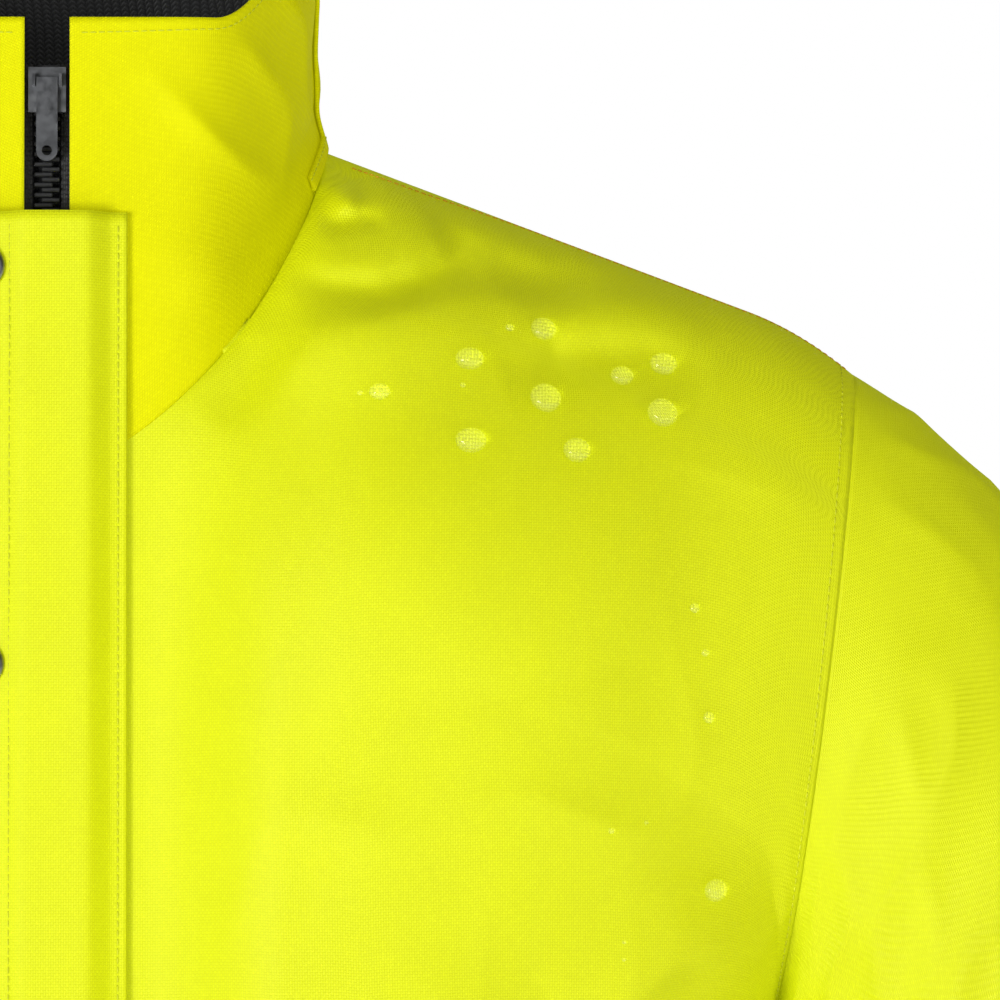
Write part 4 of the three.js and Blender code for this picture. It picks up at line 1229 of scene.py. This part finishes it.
seam_row("hem_stitches_back", "back", np.linspace(0.004, 0.996, 700), HEM_ROW, pitch=3.6)

# %% [markdown]
# Pockets, flaps and bands are topstitched a few millimetres inside their edges. These rows use the same
# lift as the cloth that they hold, so the thread lies on top of it, and each rides with its own piece.

# %% Topstitching on the trims
def height_row(name, u, z, lift, cut, mirror, body="torso"):
    """Stitches at heights z on a pocket piece that was cut between two heights."""
    u, z = np.broadcast_arrays(np.asarray(u, float), z)
    away = lift(u, (z - cut[0]) / (cut[1] - cut[0])) + THREAD_LIFT
    seam_row(name, "front", u, at_height(SHEETS["front"], u, z), mirror, away, body=body)


ROW_INSET = 0.014
SLEEVE_ROWS = (
    ("arm_band_top", ARM_BAND[0] + 2 * ARM_SHARE, 0.65, "upper_arm"),
    ("arm_band_foot", ARM_BAND[1] - 2 * ARM_SHARE, 0.65, "upper_arm"),
    ("cuff_hem", 1 - 4 * ARM_SHARE, THREAD_LIFT, "forearm"),
    ("cuff_hem_inner", 1 - 8 * ARM_SHARE, THREAD_LIFT, "forearm"),
    ("forearm_band_top", FOREARM_BAND[0] + 2 * ARM_SHARE, 0.65, "forearm"),
    ("forearm_band_foot", FOREARM_BAND[1] - 2 * ARM_SHARE, 0.65, "forearm"),
)
TAB_ROWS = (("top", TAB_V[0] + 3 * ARM_SHARE), ("foot", TAB_V[1] - 3 * ARM_SHARE))
PATCH_V = (TAB_V[0] + 4 * ARM_SHARE, TAB_V[1] - 4 * ARM_SHARE)
for side, mirror in SIDES:
    in_u = (POCKET_U[0] + ROW_INSET, POCKET_U[1] - ROW_INSET)
    z = np.linspace(POCKET_Z[0] + 4, FLAP_Z[0], 160)
    for edge, u in zip(("inner", "outer"), in_u):
        height_row(f"pocket_{edge}_stitches_{side}", u, z, pocket_lift, POCKET_Z, mirror)
    u = np.linspace(*in_u, 240)
    height_row(f"pocket_foot_stitches_{side}", u, POCKET_Z[0] + 4, pocket_lift, POCKET_Z, mirror)
    u = np.linspace(FLAP_U[0] + 0.016, FLAP_U[1] - 0.016, 240)
    for row, z in (("foot", FLAP_Z[0] + 5), ("root", FLAP_Z[1] - 5)):
        name = f"pocket_flap_{row}_stitches_{side}"
        height_row(name, u, z, flap_lift, FLAP_Z, mirror, f"pocket_flap_{side}")
    v = np.linspace(UNDERARM_SHARE + 0.01, 0.985, 300)
    seam_row(f"armhole_stitches_{side}", "front", 0.984, v, mirror)
    v = np.linspace(0.01, UNDERARM_SHARE, 240)
    seam_row(f"side_seam_stitches_{side}", "front", 0.986, v, mirror, pitch=3.6)
    u = np.linspace(0, 0.999, 400)
    for row, v, lift, limb in SLEEVE_ROWS:
        body = f"{limb}_{side}"
        seam_row(f"{row}_stitches_{side}", "sleeve", u, v, mirror, lift, body=body, pitch=3.8)
    u = np.linspace(0.06, 0.29, 120)
    for row, v in TAB_ROWS:
        name = f"cuff_tab_{row}_stitches_{side}"
        seam_row(name, "sleeve", u, v, mirror, 2.95, body=f"cuff_tab_{side}")
    patch = cloth(f"cuff_patch_{side}_cloth", "sleeve", (0.12, 0.29), PATCH_V, (24, 10), TAPE_WALL,
                  SLEEVE_TAPE_LIFT, mirror)
    dress(patch, WEBBING, body=f"forearm_{side}")

for row, x in (("hinge", 23.5), ("free", -27.0), ("free_inner", -12.0)):
    y = np.linspace(up_line(-BODY_LENGTH) + 8, up_line(-26.0), 600)
    h = np.interp(-x, -FLAP_UNDER[:, 0], FLAP_UNDER[:, 1]) + 2.5
    outs = np.broadcast_to(LINE_OUT, (600, 3))
    thread_row(f"storm_flap_{row}_stitches", on_line(x, y, h), outs, YELLOW_THREAD, body="storm_flap")

# %% [markdown]
# ## Water beads
# Rain stands on the proofed cloth in beads. They only show the finish at work and aren't part of the
# jacket, so they are staged. Each is a clear dome, flatter than a ball and resting on the cloth. Its shadow
# is let through, because clear water hardly darkens what is under it.

# %% Water beads
def clear_water():
    made, tree, shader = new_finish("clear_water", Base_Color=(1, 1, 0.8, 1), Roughness=0.01, IOR=1.36,
                                    Transmission_Weight=0.94)
    lit = tree.nodes.new("ShaderNodeBsdfTransparent")
    lit.inputs[0].default_value = (0.86, 0.89, 0.7, 1)
    either = tree.nodes.new("ShaderNodeMixShader")
    path = tree.nodes.new("ShaderNodeLightPath")
    tree.links.new(path.outputs["Is Shadow Ray"], either.inputs[0])
    tree.links.new(shader.outputs[0], either.inputs[1])
    tree.links.new(lit.outputs[0], either.inputs[2])
    tree.links.new(either.outputs[0], tree.nodes["Material Output"].inputs["Surface"])
    return made


# Places across and down from the neck end of the shoulder seam, with each bead's width.
BEADS = [
    (60.7, -59.7, 3), (71.7, -60.7, 8.7), (46.7, -70.3, 9.7), (44.7, -78.7, 2), (10.7, -81, 2),
    (17.3, -81, 7), (71.7, -83.3, 10.5), (98, -76, 8), (112.3, -72.3, 9.5), (111, -88.3, 10.3),
    (46.7, -96.7, 10.5), (81.7, -100.3, 9.3), (120.7, -151.7, 3.5), (124, -166.3, 3), (125, -187.3, 4),
    (127.3, -244.3, 8.5), (92.3, -223.3, 2.5), (104.3, -221.3, 1.7), (96.5, -260, 1.7), (96.5, -266, 1.7),
]
near_u, near_v = np.meshgrid(np.linspace(0.1, 0.99, 500), np.linspace(0.5, 0.99, 700), indexing="ij")
near_places, near_outs = laid(SHEETS["front"], near_u, near_v, 0.0), normals(SHEETS["front"], near_u, near_v)
bm = bmesh.new()
for i, (across, down, width) in enumerate(BEADS):
    away = np.hypot(near_places[..., 0] - NECK_HALF - across, near_places[..., 2] - down)
    at = np.unravel_index(np.argmin(away), away.shape)
    out = Vector(near_outs[at])
    size = Matrix.Diagonal((width / 2, width / 2 * (0.9 + 0.1 * math.sin(i * 2.3)), width * 0.34, 1))
    turn = out.to_track_quat("Z", "Y").to_matrix().to_4x4()
    place = Matrix.Translation(placed(near_places[at] + np.array(out) * width * 0.12))
    bmesh.ops.create_uvsphere(bm, u_segments=32, v_segments=20, radius=MM, matrix=place @ turn @ size)
for face in bm.faces:
    face.smooth = True
water = add_piece("water_beads", bm)
water.data.materials.append(clear_water())
print(len(BEADS), "beads of water")

# %% [markdown]
# ## Studio
# A plain pale floor and large soft lights keep the colours honest. The wide key light stands low on the
# left and shapes the folds. Weaker ones fill from the right and from above, one behind lifts the shoulder
# line, and a small one by the key makes the sparkle on water and metal.

# %% Floor, lights and camera
def place_light(name, place, aim, size, power, mirrored=True):
    lamp = bpy.data.lights.new(name, "AREA")
    lamp.shape = "DISK"
    lamp.size = size
    lamp.energy = power
    holder = bpy.data.objects.new(name, lamp)
    holder.location = place
    holder.visible_glossy = mirrored
    holder.rotation_euler = (Vector(aim) - Vector(place)).to_track_quat("-Z", "Y").to_euler()
    bpy.context.scene.collection.objects.link(holder)


FLOOR_Z = cad_box[0][2] - 0.02
bm = bmesh.new()
bmesh.ops.create_grid(bm, x_segments=1, y_segments=1, size=9.0)
bmesh.ops.translate(bm, vec=(0, 0, FLOOR_Z), verts=bm.verts)
floor = add_piece("floor", bm)
floor_finish, _, _ = new_finish("pale_floor", Base_Color=(0.82, 0.82, 0.82, 1), Roughness=0.8,
                                Emission_Color=(1, 1, 1, 1),
                                Emission_Strength=0.42)
floor.data.materials.append(floor_finish)

place_light("key", (-1.9, -3.0, -0.55), (0.1, 0, -0.2), 1.7, 94)
place_light("sparkle", (-1.7, -2.4, -0.65), (0.15, 0, -0.1), 0.14, 8)
place_light("fill", (2.4, -2.6, -0.1), (0, 0, -0.3), 2.2, 20, mirrored=False)
place_light("top", (0.9, -2.6, 2.2), (0.1, 0, -0.1), 2.0, 24, mirrored=False)
place_light("rim", (0.3, 3.4, 1.4), (0, 0, -0.3), 2.6, 40, mirrored=False)

world = bpy.data.worlds.new("studio")
bpy.context.scene.world = world
world.use_nodes = True
sky = world.node_tree
path = sky.nodes.new("ShaderNodeLightPath")
light = sky.nodes["Background"]
light.inputs["Color"].default_value = (1, 1, 1, 1)
seen = sum_node(sky, "MULTIPLY_ADD", path.outputs["Is Camera Ray"], 0.82, 0.18)
sky.links.new(sum_node(sky, "MULTIPLY_ADD", path.outputs["Is Glossy Ray"], -0.15, seen),
              light.inputs["Strength"])
bpy.context.scene.view_settings.view_transform = "Standard"

camera_data = bpy.data.cameras.new("camera")
camera = bpy.data.objects.new("camera", camera_data)
bpy.context.scene.collection.objects.link(camera)
bpy.context.scene.camera = camera
AIM = Vector((0.150, -0.09, -0.117 + OFFSET[2]))
DISTANCE = 2.4
FRAME_WIDTH = 0.333
AZIMUTH, ELEVATION = math.radians(2), math.radians(1.5)
level = math.cos(ELEVATION)
ways = Vector((-math.sin(AZIMUTH) * level, -math.cos(AZIMUTH) * level, math.sin(ELEVATION)))
camera.location = AIM + ways * DISTANCE
camera.rotation_euler = (-ways).to_track_quat("-Z", "Y").to_euler()
camera_data.sensor_width = 36.0
camera_data.lens = camera_data.sensor_width * DISTANCE / FRAME_WIDTH
print("camera lens", round(camera_data.lens), "mm")
